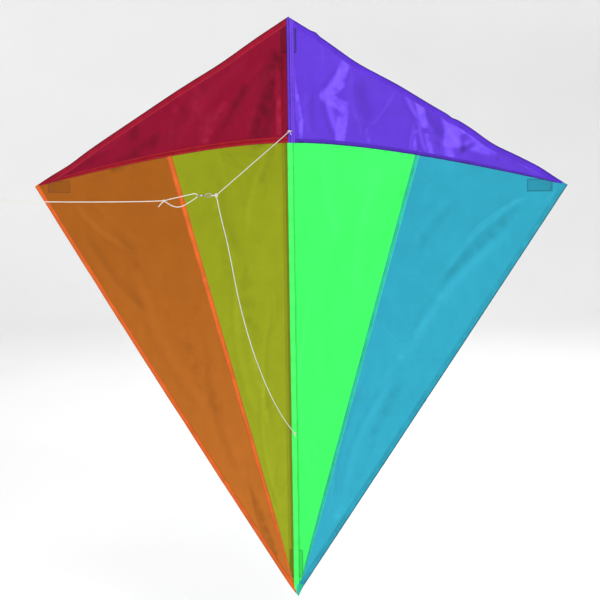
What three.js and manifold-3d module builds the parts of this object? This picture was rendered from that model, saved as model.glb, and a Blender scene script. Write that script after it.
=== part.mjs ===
// Flat diamond kite, in millimetres, +Z up, sail facing -Y.
// Six sewn cloth panels are stretched by an upright spine and a bowed cross spar,
// and a two-leg bridle in front leads through a snap swivel to the flying line.
// The origin is on the flat back of the fitting where the two spars cross.
import * as THREE from "three";
import { mergeVertices } from "three/addons/utils/BufferGeometryUtils.js";
import Module from "manifold-3d";

const wasm = await Module();
wasm.setup();

// Sail
const HALF_SPAN = 350; // spine to wing tip
const NOSE_RISE = 215; // nose above the wing tips
const TAIL_DROP = 544; // tail below the wing tips
const SAIL_BOW = 28; // wing tips behind the spine
const CLOTH = 0.6; // panel thickness
const SEAM_CROWN = 57.5; // top of the arched seam above the wing tips
const SEAM_REACH = 117; // how far out the arched seam stays nearly level
const LOWER_SEAM_TOP = 161; // where a lower seam meets the arched seam, out from the spine
const LOWER_SEAM_FOOT = 1.5; // where it ends at the tail, out from the spine
const TAIL_LAP = 4; // height of the tail corner below the inner panels
const GAP = 0.3; // clear space between pieces that touch
const SPARE = 5; // how far a blank or a cutter reaches past the piece

// Rods, caps and the fitting that holds them together
const ROD_R = 2;
const CAP_CLEARANCE = 0.25;
const CAP_WALL = 0.5;
const CAP_LENGTH = 12;
const CAP_END = 1.2; // closed end of a cap
const BORE_CLEARANCE = 0.25;
const FITTING_R = 3.6; // outside of the fitting's two tubes
const FITTING_REACH_X = 13;
const FITTING_REACH_Z = 11;
const ROD_WALL = 1.2; // material between the crossing rods
const PAD_WIDTH = 18;
const PAD_HEIGHT = 14;
const PAD_DEPTH = 1.6;
const PAD_COVER = 0.4; // pad behind the cross spar's tube
const STOP_R = 3.4;
const STOP_LENGTH = 5;

// Sewn pockets for the rod ends
const POCKET_WALL = 0.5;
const POCKET_PLATE = 0.8;
const POCKET_CLEARANCE = 0.3;
const POCKET_END = 1;
const WING_POCKET = { length: 32, width: 16, inset: 19 };
const NOSE_POCKET = { length: 38, width: 20, inset: 7 };
const TAIL_POCKET = { length: 38, width: 18, inset: 26 };

// Bridle, snap swivel and line
const CORD_R = 0.6;
const CORD_SIDES = 8;
const HOLE_CLEARANCE = 0.35;
const UPPER_ANCHOR = 71.5; // height of the upper bridle point
const LOWER_ANCHOR = -321.5;
const ANCHOR_KNOT_R = 1.7;
const TOW_POINT = [-77.6, -131.3, -1.4]; // where the snap hooks into the tow loop
const LINE_TURN = THREE.MathUtils.degToRad(18); // the line comes this far forward of -X
const TOW_RING_R = 2.4;
const TOW_KNOT_R = 1.9;
const TOW_KNOT_BACK = 5;
const WIRE_R = 0.45;
const SNAP_LENGTH = 8;
const SNAP_R = 2.1;
const GATE_START = 2.7;
const GATE_END = 6.1;
const EYE_WIRE_R = 0.4;
const EYE_R = 1.7;
const BARREL_LENGTH = 4.2;
const BARREL_R = 1.5;
const BARREL_NECK = 0.65; // from the eye's wire to the barrel
const BARREL_TAPER = 0.8; // length of the cone at each end
const BARREL_MOUTH_R = 1.1;
const BARREL_LIP = 0.7; // wall round the stem, in front of the head
const BARREL_CAVITY = 1.5; // room for the stem's head
const STEM_HEAD = 0.6; // thickness of the stem's head
const STEM_R = 0.45;
const STEM_HEAD_R = 0.85;
const STEM_CLEARANCE = 0.3;
const ROOT = 0.2; // how far a stem is let into its eye or head
const LINE_KNOT_R = 1.8;

// Places that follow from those sizes
const POCKET_BORE_R = ROD_R + CAP_CLEARANCE + CAP_WALL + POCKET_CLEARANCE;
const POCKET_R = POCKET_BORE_R + POCKET_WALL;
const STANDOFF = Math.max(FITTING_R, POCKET_R) + GAP; // rod centre behind the sail's back
const SPAR_Y = -(FITTING_R + PAD_COVER);
const CROSS_OFFSET = 2 * ROD_R + ROD_WALL;
const SPINE_Y = SPAR_Y - CROSS_OFFSET;
const SAIL_BACK = SPINE_Y - STANDOFF;
const SAIL_FRONT = SAIL_BACK - CLOTH;
const ANCHOR_Y = SAIL_FRONT - GAP - ANCHOR_KNOT_R;
const WING_POCKET_X = HALF_SPAN - WING_POCKET.inset - WING_POCKET.length / 2;
const NOSE_POCKET_Z = NOSE_RISE - NOSE_POCKET.inset - NOSE_POCKET.length / 2;
const TAIL_POCKET_Z = -TAIL_DROP + TAIL_POCKET.inset + TAIL_POCKET.length / 2;

const cloth = (name, colour) => finish(name, colour, 0.45, 0);
const red = cloth("sail_red", 0xa00f3c);
const purple = cloth("sail_purple", 0x693cd7);
const orange = cloth("sail_orange", 0xb36b2a);
const olive = cloth("sail_olive", 0x99a626);
const green = cloth("sail_green", 0x46ff6e);
const blue = cloth("sail_blue", 0x36aac6);
const pocketCloth = finish("pocket_cloth", 0x20222a, 0.8, 0);
const rodFinish = finish("rod", 0x1c1d1f, 0.35, 0);
const vinyl = finish("vinyl", 0x17181a, 0.6, 0);
const string = finish("string", 0xece8dc, 0.85, 0);
const nickel = finish("nickel", 0xb9bcc0, 0.25, 1);

function finish(name, colour, roughness, metalness) {
  const made = new THREE.MeshStandardMaterial({ color: colour, roughness, metalness });
  made.name = name;
  return made;
}

// Turns a closed geometry into a solid that can be joined and cut.
function solid(geometry) {
  const bare = geometry.clone();
  bare.deleteAttribute("normal");
  bare.deleteAttribute("uv");
  const merged = mergeVertices(bare, 1e-4);
  return new wasm.Manifold(
    new wasm.Mesh({
      numProp: 3,
      vertProperties: new Float32Array(merged.attributes.position.array),
      triVerts: new Uint32Array(merged.index.array),
    }),
  );
}

function node(name, shape, material) {
  let geometry = shape;
  if (!shape.isBufferGeometry) {
    const made = shape.getMesh();
    geometry = new THREE.BufferGeometry();
    geometry.setAttribute("position", new THREE.BufferAttribute(made.vertProperties, 3));
    geometry.setIndex(new THREE.BufferAttribute(made.triVerts, 1));
    geometry = geometry.toNonIndexed();
    geometry.computeVertexNormals();
  }
  const mesh = new THREE.Mesh(geometry, material);
  mesh.name = name;
  return mesh;
}

// A round bar from one point to another.
function bar(from, to, radius, sides = 20) {
  const axis = new THREE.Vector3().subVectors(to, from);
  const shape = new THREE.CylinderGeometry(radius, radius, axis.length(), sides);
  const turn = new THREE.Quaternion().setFromUnitVectors(
    new THREE.Vector3(0, 1, 0),
    axis.clone().normalize(),
  );
  shape.applyQuaternion(turn);
  const middle = new THREE.Vector3().addVectors(from, to).multiplyScalar(0.5);
  return shape.translate(middle.x, middle.y, middle.z);
}

const alongX = (a, b, r, sides) => bar(new THREE.Vector3(a, 0, 0), new THREE.Vector3(b, 0, 0), r, sides);
const alongZ = (a, b, r, sides) => bar(new THREE.Vector3(0, 0, a), new THREE.Vector3(0, 0, b), r, sides);

// A box given by its lowest and highest corners.
function block(low, high) {
  const shape = new THREE.BoxGeometry(high[0] - low[0], high[1] - low[1], high[2] - low[2]);
  return shape.translate((low[0] + high[0]) / 2, (low[1] + high[1]) / 2, (low[2] + high[2]) / 2);
}

function ball([x, y, z], radius) {
  return new THREE.SphereGeometry(radius, 14, 10).translate(x, y, z);
}

// A round section swept along a curve: a rod, a wire or a cord.
function sweep(curve, radius, steps, sides = CORD_SIDES) {
  const section = new THREE.Shape();
  for (let i = 0; i < sides; i++) {
    const angle = (2 * Math.PI * i) / sides;
    const place = [radius * Math.cos(angle), radius * Math.sin(angle)];
    if (i === 0) section.moveTo(...place);
    else section.lineTo(...place);
  }
  return new THREE.ExtrudeGeometry(section, { extrudePath: curve, steps, bevelEnabled: false });
}

function smooth(points) {
  return new THREE.CatmullRomCurve3(points.map((p) => new THREE.Vector3(...p)));
}

// ---------------------------------------------------------------- sail

// How far behind the spine's line the sail's back surface is at x.
function sailBackAt(x) {
  return SAIL_BACK + SAIL_BOW * (x / HALF_SPAN) ** 2;
}

// The whole sail as one thin curved slab; each panel is cut from it.
function sailSlab() {
  const strips = 28;
  const reach = HALF_SPAN + SPARE;
  const plan = new THREE.Shape();
  for (let i = 0; i <= strips; i++) {
    const x = -reach + (2 * reach * i) / strips;
    const place = [x, sailBackAt(x) - CLOTH];
    if (i === 0) plan.moveTo(...place);
    else plan.lineTo(...place);
  }
  for (let i = strips; i >= 0; i--) {
    const x = -reach + (2 * reach * i) / strips;
    plan.lineTo(x, sailBackAt(x));
  }
  const depth = NOSE_RISE + TAIL_DROP + 2 * SPARE;
  const slab = new THREE.ExtrudeGeometry(plan, { depth, bevelEnabled: false });
  return solid(slab.translate(0, 0, -TAIL_DROP - SPARE));
}

// A point of the arched seam on the right half; t runs from the spine, 0, to the wing tip, 1.
function archPoint(t) {
  const x = 2 * t * (1 - t) * SEAM_REACH + t * t * HALF_SPAN;
  return [x, SEAM_CROWN * (1 - t * t)];
}

// The t at which the arched seam is this far out from the spine.
function archAt(x) {
  const a = HALF_SPAN - 2 * SEAM_REACH;
  if (Math.abs(a) < 1e-6) return x / (2 * SEAM_REACH);
  return (-SEAM_REACH + Math.sqrt(SEAM_REACH ** 2 + a * x)) / a;
}

function archPoints(from, to, steps, shift) {
  return Array.from({ length: steps + 1 }, (_, i) => {
    const [x, z] = archPoint(from + ((to - from) * i) / steps);
    return [x, z + shift];
  });
}

// The outlines of the three panels of the right half, as [x, z] points.
const meet = archAt(LOWER_SEAM_TOP);
const [meetX, meetZ] = archPoint(meet);
const half = GAP / 2;
const innerFoot = -TAIL_DROP + TAIL_LAP;
const noseOutline = [[half, NOSE_RISE], ...archPoints(0, 1, 18, half)];
noseOutline[1][0] = half;
const innerOutline = [
  [half, innerFoot],
  ...archPoints(meet, 0, 10, -half).map(([x, z]) => [Math.max(x - half, half), z]),
];
innerOutline.splice(1, 0, [LOWER_SEAM_FOOT, innerFoot]);
const outerOutline = [
  [meetX + half, meetZ - half],
  ...archPoints(meet, 1, 10, -half).slice(1),
  [half, -TAIL_DROP],
  [half, innerFoot - GAP],
  [LOWER_SEAM_FOOT + GAP, innerFoot - GAP],
];

const slab = sailSlab();

// Cuts a panel from the slab; side is 1 for the right half and -1 for the left.
function panel(outline, side) {
  const shape = new THREE.Shape(outline.map(([x, z]) => new THREE.Vector2(side * x, z)));
  const depth = 4 * (SAIL_BOW + STANDOFF);
  const prism = new THREE.ExtrudeGeometry(shape, { depth, bevelEnabled: false });
  prism.rotateX(Math.PI / 2);
  prism.translate(0, depth / 2 + SAIL_BACK, 0);
  return slab.intersect(solid(prism));
}

// ---------------------------------------------------------------- pockets, rods and caps

// A pocket with the rod's axis along X and its closed end at +X; the sail is on its -Y side.
function pocket({ length, width }) {
  const end = length / 2;
  const front = -(STANDOFF - GAP);
  const plate = solid(block([-end, front, -width / 2], [end, front + POCKET_PLATE, width / 2]));
  const tunnel = solid(alongX(-end, end, POCKET_R, 24));
  const bore = solid(alongX(-end - SPARE, end - POCKET_END, POCKET_BORE_R, 24));
  const skin = solid(block([-end - SPARE, front - SPARE, -width], [end + SPARE, front, width]));
  return plate.add(tunnel).subtract(bore).subtract(skin);
}

// An end cap on the X axis; its closed end is at x = 0 and its mouth at -CAP_LENGTH.
function cap() {
  const outside = solid(alongX(-CAP_LENGTH, 0, ROD_R + CAP_CLEARANCE + CAP_WALL, 20));
  const bore = solid(alongX(-CAP_LENGTH - SPARE, -CAP_END, ROD_R + CAP_CLEARANCE, 20));
  return outside.subtract(bore);
}

// The middle of the cross spar, in plan: seated on the sail at the wing pockets
// and standing off by the spine's thickness at the centre.
function sparYAt(x) {
  const lift = (1 - (x / WING_POCKET_X) ** 2) ** 2;
  return sailBackAt(x) + STANDOFF + CROSS_OFFSET * lift;
}

const SPAR_SLOPE = (2 * SAIL_BOW * WING_POCKET_X) / HALF_SPAN ** 2;
const WING_TURN = Math.atan(SPAR_SLOPE);
const wingCapEnd = WING_POCKET.length / 2 - POCKET_END - GAP;
const SPAR_END = WING_POCKET_X + (wingCapEnd - CAP_END - GAP) * Math.cos(WING_TURN);

function crossSpar() {
  const stations = 24;
  const points = Array.from({ length: stations + 1 }, (_, i) => {
    const x = -SPAR_END + (2 * SPAR_END * i) / stations;
    return [x, sparYAt(x), 0];
  });
  return sweep(smooth(points), ROD_R, 32, 12);
}

// Puts a piece made along X at a wing pocket, closed end outwards; side is 1 right, -1 left.
function atWing(name, shape, material, side) {
  const group = new THREE.Group();
  group.position.set(side * WING_POCKET_X, sparYAt(WING_POCKET_X), 0);
  group.rotation.z = side * WING_TURN;
  group.add(node(name, side > 0 ? shape : shape.mirror([1, 0, 0]), material));
  return group;
}

// Puts a piece made along X on the spine, closed end up (1) or down (-1).
function atSpineEnd(shape, z, end) {
  const group = new THREE.Group();
  group.position.set(0, SPINE_Y, z);
  group.rotation.y = -end * (Math.PI / 2);
  group.add(shape);
  return group;
}

const noseCapEnd = NOSE_POCKET.length / 2 - POCKET_END - GAP;
const tailCapEnd = TAIL_POCKET.length / 2 - POCKET_END - GAP;
const SPINE_TOP = NOSE_POCKET_Z + noseCapEnd - CAP_END - GAP;
const SPINE_BOTTOM = TAIL_POCKET_Z - tailCapEnd + CAP_END + GAP;

// The moulded fitting: two crossing tubes and a flat pad on the back.
function crossFitting() {
  const bore = ROD_R + BORE_CLEARANCE;
  const spineTube = alongZ(-FITTING_REACH_Z, FITTING_REACH_Z, FITTING_R, 24).translate(0, SPINE_Y, 0);
  const sparTube = alongX(-FITTING_REACH_X, FITTING_REACH_X, FITTING_R, 24).translate(0, SPAR_Y, 0);
  const web = block([-FITTING_R, SPINE_Y, -FITTING_R], [FITTING_R, SPAR_Y, FITTING_R]);
  const pad = block([-PAD_WIDTH / 2, -PAD_DEPTH, -PAD_HEIGHT / 2], [PAD_WIDTH / 2, 0, PAD_HEIGHT / 2]);
  const cut = Math.max(FITTING_REACH_X, FITTING_REACH_Z) + SPARE;
  const spineBore = alongZ(-cut, cut, bore, 24).translate(0, SPINE_Y, 0);
  const sparBore = alongX(-cut, cut, bore, 24).translate(0, SPAR_Y, 0);
  return solid(spineTube)
    .add(solid(sparTube))
    .add(solid(web))
    .add(solid(pad))
    .subtract(solid(spineBore))
    .subtract(solid(sparBore));
}

function stopRing(z) {
  const outside = alongZ(-STOP_LENGTH / 2, STOP_LENGTH / 2, STOP_R, 20);
  const bore = alongZ(-STOP_LENGTH, STOP_LENGTH, ROD_R + BORE_CLEARANCE, 20);
  return solid(outside).subtract(solid(bore)).translate([0, SPINE_Y, z]);
}

// ---------------------------------------------------------------- bridle and line

// The cord tied round the spine: an oval through the sail that ends in a knot in front.
const tieBack = SPINE_Y + ROD_R + GAP + CORD_R;
const tieMiddle = (tieBack + ANCHOR_Y) / 2;
const tieReach = (tieBack - ANCHOR_Y) / 2;
const tieHalfWidth = ROD_R + 2 * GAP + CORD_R;

function tieLoop(z, radius) {
  const turns = 20;
  const points = Array.from({ length: turns + 1 }, (_, i) => {
    const angle = THREE.MathUtils.degToRad(-80 + (340 * i) / turns);
    return [tieHalfWidth * Math.cos(angle), tieMiddle + tieReach * Math.sin(angle), z];
  });
  return solid(sweep(smooth(points), radius, 24));
}

function anchorTie({ centre, radius }) {
  return tieLoop(centre[2], CORD_R).add(solid(ball(centre, radius)));
}

// A ring of wire or cord lying flat, across its link.
function ring(x, radius, wire, sides = 20) {
  return solid(new THREE.TorusGeometry(radius, wire, CORD_SIDES, sides).translate(x, 0, 0));
}

const EYE_INSET = WIRE_R + GAP + EYE_WIRE_R;
const SNAP_EYE_X = SNAP_LENGTH - EYE_INSET + EYE_R;
const BARREL_START = SNAP_EYE_X + EYE_R + BARREL_NECK;
const BARREL_END = BARREL_START + BARREL_LENGTH;
const LINE_EYE_X = BARREL_END + BARREL_NECK + EYE_R;

// The cord loop that the snap hooks into, with the knot that joins the two bridle legs.
function towLoop() {
  const centre = WIRE_R + GAP + CORD_R - TOW_RING_R;
  const knot = ball([-TOW_KNOT_BACK, 0, 0], TOW_KNOT_R);
  return ring(centre, TOW_RING_R, CORD_R).add(solid(knot));
}

// The snap's bent wire, open along its lower side where the gate closes it.
function snapWire() {
  const points = [
    [GATE_START - GAP - 2 * WIRE_R, 0, -SNAP_R + 0.1],
    [SNAP_R * 0.3, 0, -SNAP_R * 0.7],
    [0, 0, 0],
    [SNAP_R * 0.3, 0, SNAP_R * 0.75],
    [SNAP_R, 0, SNAP_R],
    [SNAP_LENGTH / 2, 0, SNAP_R],
    [SNAP_LENGTH - SNAP_R, 0, SNAP_R],
    [SNAP_LENGTH - SNAP_R * 0.3, 0, SNAP_R * 0.75],
    [SNAP_LENGTH, 0, 0],
    [SNAP_LENGTH - SNAP_R * 0.25, 0, -SNAP_R * 0.7],
    [GATE_END + GAP + 1.4 * WIRE_R, 0, -SNAP_R],
  ];
  return sweep(smooth(points), WIRE_R, 40);
}

function snapGate() {
  const from = new THREE.Vector3(GATE_START, 0, -SNAP_R);
  return bar(from, new THREE.Vector3(GATE_END, 0, -SNAP_R), WIRE_R, 10);
}

// Half outline of the barrel, closed on itself, with the cavity that holds the line eye's head.
function swivelBarrel() {
  const mouth = STEM_R + STEM_CLEARANCE;
  const cavity = STEM_HEAD_R + STEM_CLEARANCE;
  const lip = BARREL_LENGTH - BARREL_LIP;
  const outline = [
    [0, 0],
    [STEM_HEAD_R, 0],
    [BARREL_R, BARREL_TAPER],
    [BARREL_R, BARREL_LENGTH - BARREL_TAPER],
    [BARREL_MOUTH_R, BARREL_LENGTH],
    [mouth, BARREL_LENGTH],
    [mouth, lip],
    [cavity, lip],
    [cavity, lip - BARREL_CAVITY],
    [0, lip - BARREL_CAVITY],
  ];
  const lathe = new THREE.LatheGeometry(outline.map((p) => new THREE.Vector2(...p)), 16);
  lathe.rotateZ(-Math.PI / 2);
  const stem = alongX(SNAP_EYE_X + EYE_R - ROOT, BARREL_START + ROOT, STEM_R, 10);
  return ring(SNAP_EYE_X, EYE_R, EYE_WIRE_R)
    .add(solid(lathe.translate(BARREL_START, 0, 0)))
    .add(solid(stem));
}

function lineEye() {
  const headEnd = BARREL_END - BARREL_LIP - STEM_CLEARANCE;
  const stem = alongX(headEnd - ROOT, LINE_EYE_X - EYE_R + ROOT, STEM_R, 10);
  const head = alongX(headEnd - STEM_HEAD, headEnd, STEM_HEAD_R, 12);
  return ring(LINE_EYE_X, EYE_R, EYE_WIRE_R).add(solid(stem)).add(solid(head));
}

// The cords' routes between their knots. The bridle legs are in the kite's frame; the rest is in
// the line's own upright plane, with x outwards from the tow point and z up.
const UPPER_LEG = [
  [-17.9, -43.6, 53.5],
  [-36.1, -72.3, 35.2],
  [-54.4, -100.9, 17.0],
];
const LOWER_LEG = [
  [-68.4, -124.5, -29.6],
  [-63.6, -119.1, -55.6],
  [-59.9, -113.3, -81.4],
  [-56.9, -107.1, -107.1],
  [-53.5, -100.5, -132.7],
  [-49.4, -93.3, -158.0],
  [-44.7, -85.4, -183.1],
  [-39.2, -76.9, -207.8],
  [-33.0, -67.4, -232.0],
  [-26.2, -56.9, -255.7],
  [-18.6, -45.1, -278.5],
  [-10.1, -31.8, -300.0],
];
const LINE_LOOP = [
  [49, 0, -2.8],
  [41, 0, -1.2],
  [33, 0, 0.4],
  [26, 0, 1.8],
  [21.4, 0, 2.6],
  [18.9, 0, 1.9],
  [17.8, 0, 0], // through the swivel's eye
  [18.9, 0, -2.0],
  [21.4, 0, -3.6],
  [25.5, 0, -6.2],
  [30.5, 0, -9.2],
  [36, 0, -11.9],
  [42, 0, -13.0],
  [48, 0, -11.6],
  [53, 0, -8.8],
];
const LINE_KNOT = [58.6, 0, -5];
const LINE_TAIL = [
  LINE_KNOT,
  [61.6, 0, -8],
  [65.6, 0, -12.4],
];
const FLYING_LINE = [
  [80, 0, -5.15],
  [100, 0, -5.0],
  [122, 0, -4.65],
  [145, 0, -4.15],
  [168, 0, -3.5],
  [190, 0, -2.8],
  [212, 0, -2.0],
  [234, 0, -1.15],
  [250, 0, -0.5],
];
const END_KNOT = [264, 0, 0];
const END_LOOP = [
  [271, 0, 1.5],
  [278, 0, 2.4],
  [284.5, 0, 3.0],
  [288.7, 0, 2.5],
  [290.6, 0, 0],
  [288.7, 0, -2.5],
  [284.5, 0, -3.0],
  [278, 0, -2.4],
  [271, 0, -1.5],
];

// The point just clear of a knot, on the side of a cord's nearest point.
function clearOf({ centre, radius }, towards) {
  const middle = new THREE.Vector3(...centre);
  const way = new THREE.Vector3(...towards).sub(middle).normalize();
  return way.multiplyScalar(radius + GAP).add(middle).toArray();
}

// A cord from one knot, along its route, to another.
function cord(name, from, route, to, steps) {
  const points = [clearOf(from, route[0]), ...route, clearOf(to, route.at(-1))];
  return node(name, sweep(smooth(points), CORD_R, steps), string);
}

const upperAnchor = { centre: [0, ANCHOR_Y, UPPER_ANCHOR], radius: ANCHOR_KNOT_R };
const lowerAnchor = { centre: [0, ANCHOR_Y, LOWER_ANCHOR], radius: ANCHOR_KNOT_R };
const lineKnot = { centre: LINE_KNOT, radius: LINE_KNOT_R };
const endKnot = { centre: END_KNOT, radius: LINE_KNOT_R };
const towKnot = {
  centre: [
    TOW_POINT[0] + TOW_KNOT_BACK * Math.cos(LINE_TURN),
    TOW_POINT[1] + TOW_KNOT_BACK * Math.sin(LINE_TURN),
    TOW_POINT[2],
  ],
  radius: TOW_KNOT_R,
};

function knot(name, { centre, radius }, extra) {
  const body = solid(ball(centre, radius));
  return node(name, extra ? body.add(solid(extra)) : body, string);
}

// ---------------------------------------------------------------- the kite

const kite = new THREE.Group();

const upperHoles = tieLoop(UPPER_ANCHOR, CORD_R + HOLE_CLEARANCE);
const lowerHoles = tieLoop(LOWER_ANCHOR, CORD_R + HOLE_CLEARANCE);
kite.add(
  node("nose_panel_left", panel(noseOutline, -1).subtract(upperHoles), red),
  node("nose_panel_right", panel(noseOutline, 1).subtract(upperHoles), purple),
  node("outer_panel_left", panel(outerOutline, -1), orange),
  node("inner_panel_left", panel(innerOutline, -1).subtract(lowerHoles), olive),
  node("inner_panel_right", panel(innerOutline, 1).subtract(lowerHoles), green),
  node("outer_panel_right", panel(outerOutline, 1), blue),
);

for (const [word, side] of [["left", -1], ["right", 1]]) {
  kite.add(
    atWing(`wing_pocket_${word}`, pocket(WING_POCKET), pocketCloth, side),
    atWing(`spar_cap_${word}`, cap().translate([wingCapEnd, 0, 0]), vinyl, side),
  );
}
kite.add(
  atSpineEnd(node("nose_pocket", pocket(NOSE_POCKET), pocketCloth), NOSE_POCKET_Z, 1),
  atSpineEnd(node("tail_pocket", pocket(TAIL_POCKET), pocketCloth), TAIL_POCKET_Z, -1),
  atSpineEnd(node("nose_cap", cap().translate([noseCapEnd, 0, 0]), vinyl), NOSE_POCKET_Z, 1),
  atSpineEnd(node("tail_cap", cap().translate([tailCapEnd, 0, 0]), vinyl), TAIL_POCKET_Z, -1),
  node("spine_rod", alongZ(SPINE_BOTTOM, SPINE_TOP, ROD_R, 12).translate(0, SPINE_Y, 0), rodFinish),
  node("cross_spar", crossSpar(), rodFinish),
  node("cross_fitting", crossFitting(), vinyl),
  node("stop_ring_upper", stopRing(FITTING_REACH_Z + GAP + STOP_LENGTH / 2), vinyl),
  node("stop_ring_lower", stopRing(-FITTING_REACH_Z - GAP - STOP_LENGTH / 2), vinyl),
  node("upper_anchor_tie", anchorTie(upperAnchor), string),
  node("lower_anchor_tie", anchorTie(lowerAnchor), string),
  cord("upper_bridle_leg", upperAnchor, UPPER_LEG, towKnot, 24),
  cord("lower_bridle_leg", towKnot, LOWER_LEG, lowerAnchor, 70),
);

const line = new THREE.Group();
line.position.set(...TOW_POINT);
line.rotation.z = Math.PI + LINE_TURN;
line.add(
  node("tow_loop", towLoop(), string),
  node("snap_wire", snapWire(), nickel),
  node("snap_gate", snapGate(), nickel),
  node("swivel_barrel", swivelBarrel(), nickel),
  node("swivel_line_eye", lineEye(), nickel),
  cord("line_loop", lineKnot, LINE_LOOP, lineKnot, 48),
  knot("line_knot", lineKnot, sweep(smooth(LINE_TAIL), CORD_R, 6)),
  cord("flying_line", lineKnot, FLYING_LINE, endKnot, 60),
  knot("end_knot", endKnot),
  cord("end_loop", endKnot, END_LOOP, endKnot, 30),
);
kite.add(line);

export default kite;
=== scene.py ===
"""Looks of the flat diamond kite: sewn cloth, stitching, cords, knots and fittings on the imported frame."""

import math

import bmesh
import bpy
import numpy as np
from mathutils import Matrix, Vector


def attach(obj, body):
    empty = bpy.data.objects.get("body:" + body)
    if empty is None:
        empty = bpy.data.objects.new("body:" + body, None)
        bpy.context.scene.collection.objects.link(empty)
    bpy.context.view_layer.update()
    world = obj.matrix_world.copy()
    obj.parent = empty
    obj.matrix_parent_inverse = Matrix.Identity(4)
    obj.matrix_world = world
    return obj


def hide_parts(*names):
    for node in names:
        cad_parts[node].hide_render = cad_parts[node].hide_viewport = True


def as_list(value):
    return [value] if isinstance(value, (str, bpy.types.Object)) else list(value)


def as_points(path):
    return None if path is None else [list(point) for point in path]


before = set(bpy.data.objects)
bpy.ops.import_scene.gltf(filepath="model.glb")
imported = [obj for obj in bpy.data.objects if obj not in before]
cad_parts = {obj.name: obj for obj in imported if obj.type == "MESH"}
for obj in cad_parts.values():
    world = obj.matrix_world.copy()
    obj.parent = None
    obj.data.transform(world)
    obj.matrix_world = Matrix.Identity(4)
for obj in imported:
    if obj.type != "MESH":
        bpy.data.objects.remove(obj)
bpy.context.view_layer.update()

# ---------------------------------------------------------------- sizes, in millimetres

MM = 0.001
HALF_SPAN = 350
NOSE_RISE = 215
TAIL_DROP = 544
SAIL_BOW = 28
SEAM_CROWN = 57.5
SEAM_REACH = 117
LOWER_SEAM_TOP = 161
LOWER_SEAM_FOOT = 1.5
TAIL_LAP = 4
SAIL_MID = -13.4  # the cloth's middle on the spine's line
CLOTH = 0.3
HEM = 8  # folded edge
STITCH_MARGIN = 1.4  # from a hem's inner edge to its stitches
ROD_R = 2
BORE_R = 2.25  # inside of whatever a rod goes through
FITTING_R = 3.4
SPAR_Y = -4.0
SPINE_Y = -9.2
ROD_STANDOFF = 3.9  # rod's middle behind the sail's back
SPAR_LIFT = 5.2  # the cross spar stands off by this much at the spine
WING_POCKET = {"length": 32, "width": 16, "middle": 315}
NOSE_POCKET = {"length": 38, "width": 20, "middle": 189}
TAIL_POCKET = {"length": 38, "width": 18, "middle": -499}
CORD_R = 0.6
ANCHOR_Y = -15.7
UPPER_ANCHOR = (0, ANCHOR_Y, 71.5)
LOWER_ANCHOR = (0, ANCHOR_Y, -321.5)
TOW_POINT = (-77.6, -131.3, -1.4)
LINE_TURN = math.radians(18)
LINE_AHEAD = (0.95, 0.31, 0)  # along the line, towards the kite

# The cords' routes. The bridle legs are in the kite's frame, and the rest is in the line's own
# upright plane, with x outwards from the tow point and z up.
UPPER_LEG = [(-17.9, -43.6, 53.5), (-36.1, -72.3, 35.2), (-54.4, -100.9, 17.0)]
LOWER_LEG = [
    (-68.4, -124.5, -29.6), (-63.6, -119.1, -55.6), (-59.9, -113.3, -81.4),
    (-56.9, -107.1, -107.1), (-53.5, -100.5, -132.7), (-49.4, -93.3, -158.0),
    (-44.7, -85.4, -183.1), (-39.2, -76.9, -207.8), (-33.0, -67.4, -232.0),
    (-26.2, -56.9, -255.7), (-18.6, -45.1, -278.5), (-10.1, -31.8, -300.0),
]
LINE_LOOP = [
    (49, 0, -2.8), (41, 0, -1.2), (33, 0, 0.4), (26, 0, 1.8), (21.4, 0, 2.6),
    (18.9, 0, 1.9), (17.8, 0, 0), (18.9, 0, -2.0), (21.4, 0, -3.6), (25.5, 0, -6.2),
    (30.5, 0, -9.2), (36, 0, -11.9), (42, 0, -13.0), (48, 0, -11.6), (53, 0, -8.8),
]
LINE_KNOT = (58.6, 0, -5)
LINE_TAIL = [(61.6, 0, -8), (65.6, 0, -12.4)]
FLYING_LINE = [
    (80, 0, -5.15), (100, 0, -5.0), (122, 0, -4.65), (145, 0, -4.15), (168, 0, -3.5),
    (190, 0, -2.8), (212, 0, -2.0), (234, 0, -1.15), (250, 0, -0.5),
]
END_KNOT = (264, 0, 0)
END_LOOP = [
    (271, 0, 1.5), (278, 0, 2.4), (284.5, 0, 3.0), (288.7, 0, 2.5), (290.6, 0, 0),
    (288.7, 0, -2.5), (284.5, 0, -3.0), (278, 0, -2.4), (271, 0, -1.5),
]


def on_line(p):
    """A point of the line's own plane, in the kite's frame."""
    return (
        TOW_POINT[0] - p[0] * math.cos(LINE_TURN) + p[1] * math.sin(LINE_TURN),
        TOW_POINT[1] - p[0] * math.sin(LINE_TURN) - p[1] * math.cos(LINE_TURN),
        TOW_POINT[2] + p[2],
    )


TOW_KNOT = on_line((-5, 0, 0))

# ---------------------------------------------------------------- camera and studio


def place_camera():
    """The camera in front of the kite, a little to its right and above it."""
    azimuth, elevation, roll = (math.radians(a) for a in (8.98, 8.16, 0.83))
    target, distance = Vector((0.0078, 0, -0.1478)), 2.0
    back = Vector((
        math.sin(azimuth) * math.cos(elevation),
        -math.cos(azimuth) * math.cos(elevation),
        math.sin(elevation),
    ))
    right = Vector((math.cos(azimuth), math.sin(azimuth), 0))
    up = back.cross(right)
    rolled_right = right * math.cos(roll) - up * math.sin(roll)
    rolled_up = right * math.sin(roll) + up * math.cos(roll)
    data = bpy.data.cameras.new("camera")
    data.sensor_width = 36
    data.lens = 92.17
    camera = bpy.data.objects.new("camera", data)
    bpy.context.scene.collection.objects.link(camera)
    turn = Matrix((rolled_right, rolled_up, back)).transposed()
    camera.matrix_world = Matrix.Translation(target + back * distance) @ turn.to_4x4()
    bpy.context.scene.camera = camera


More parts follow.
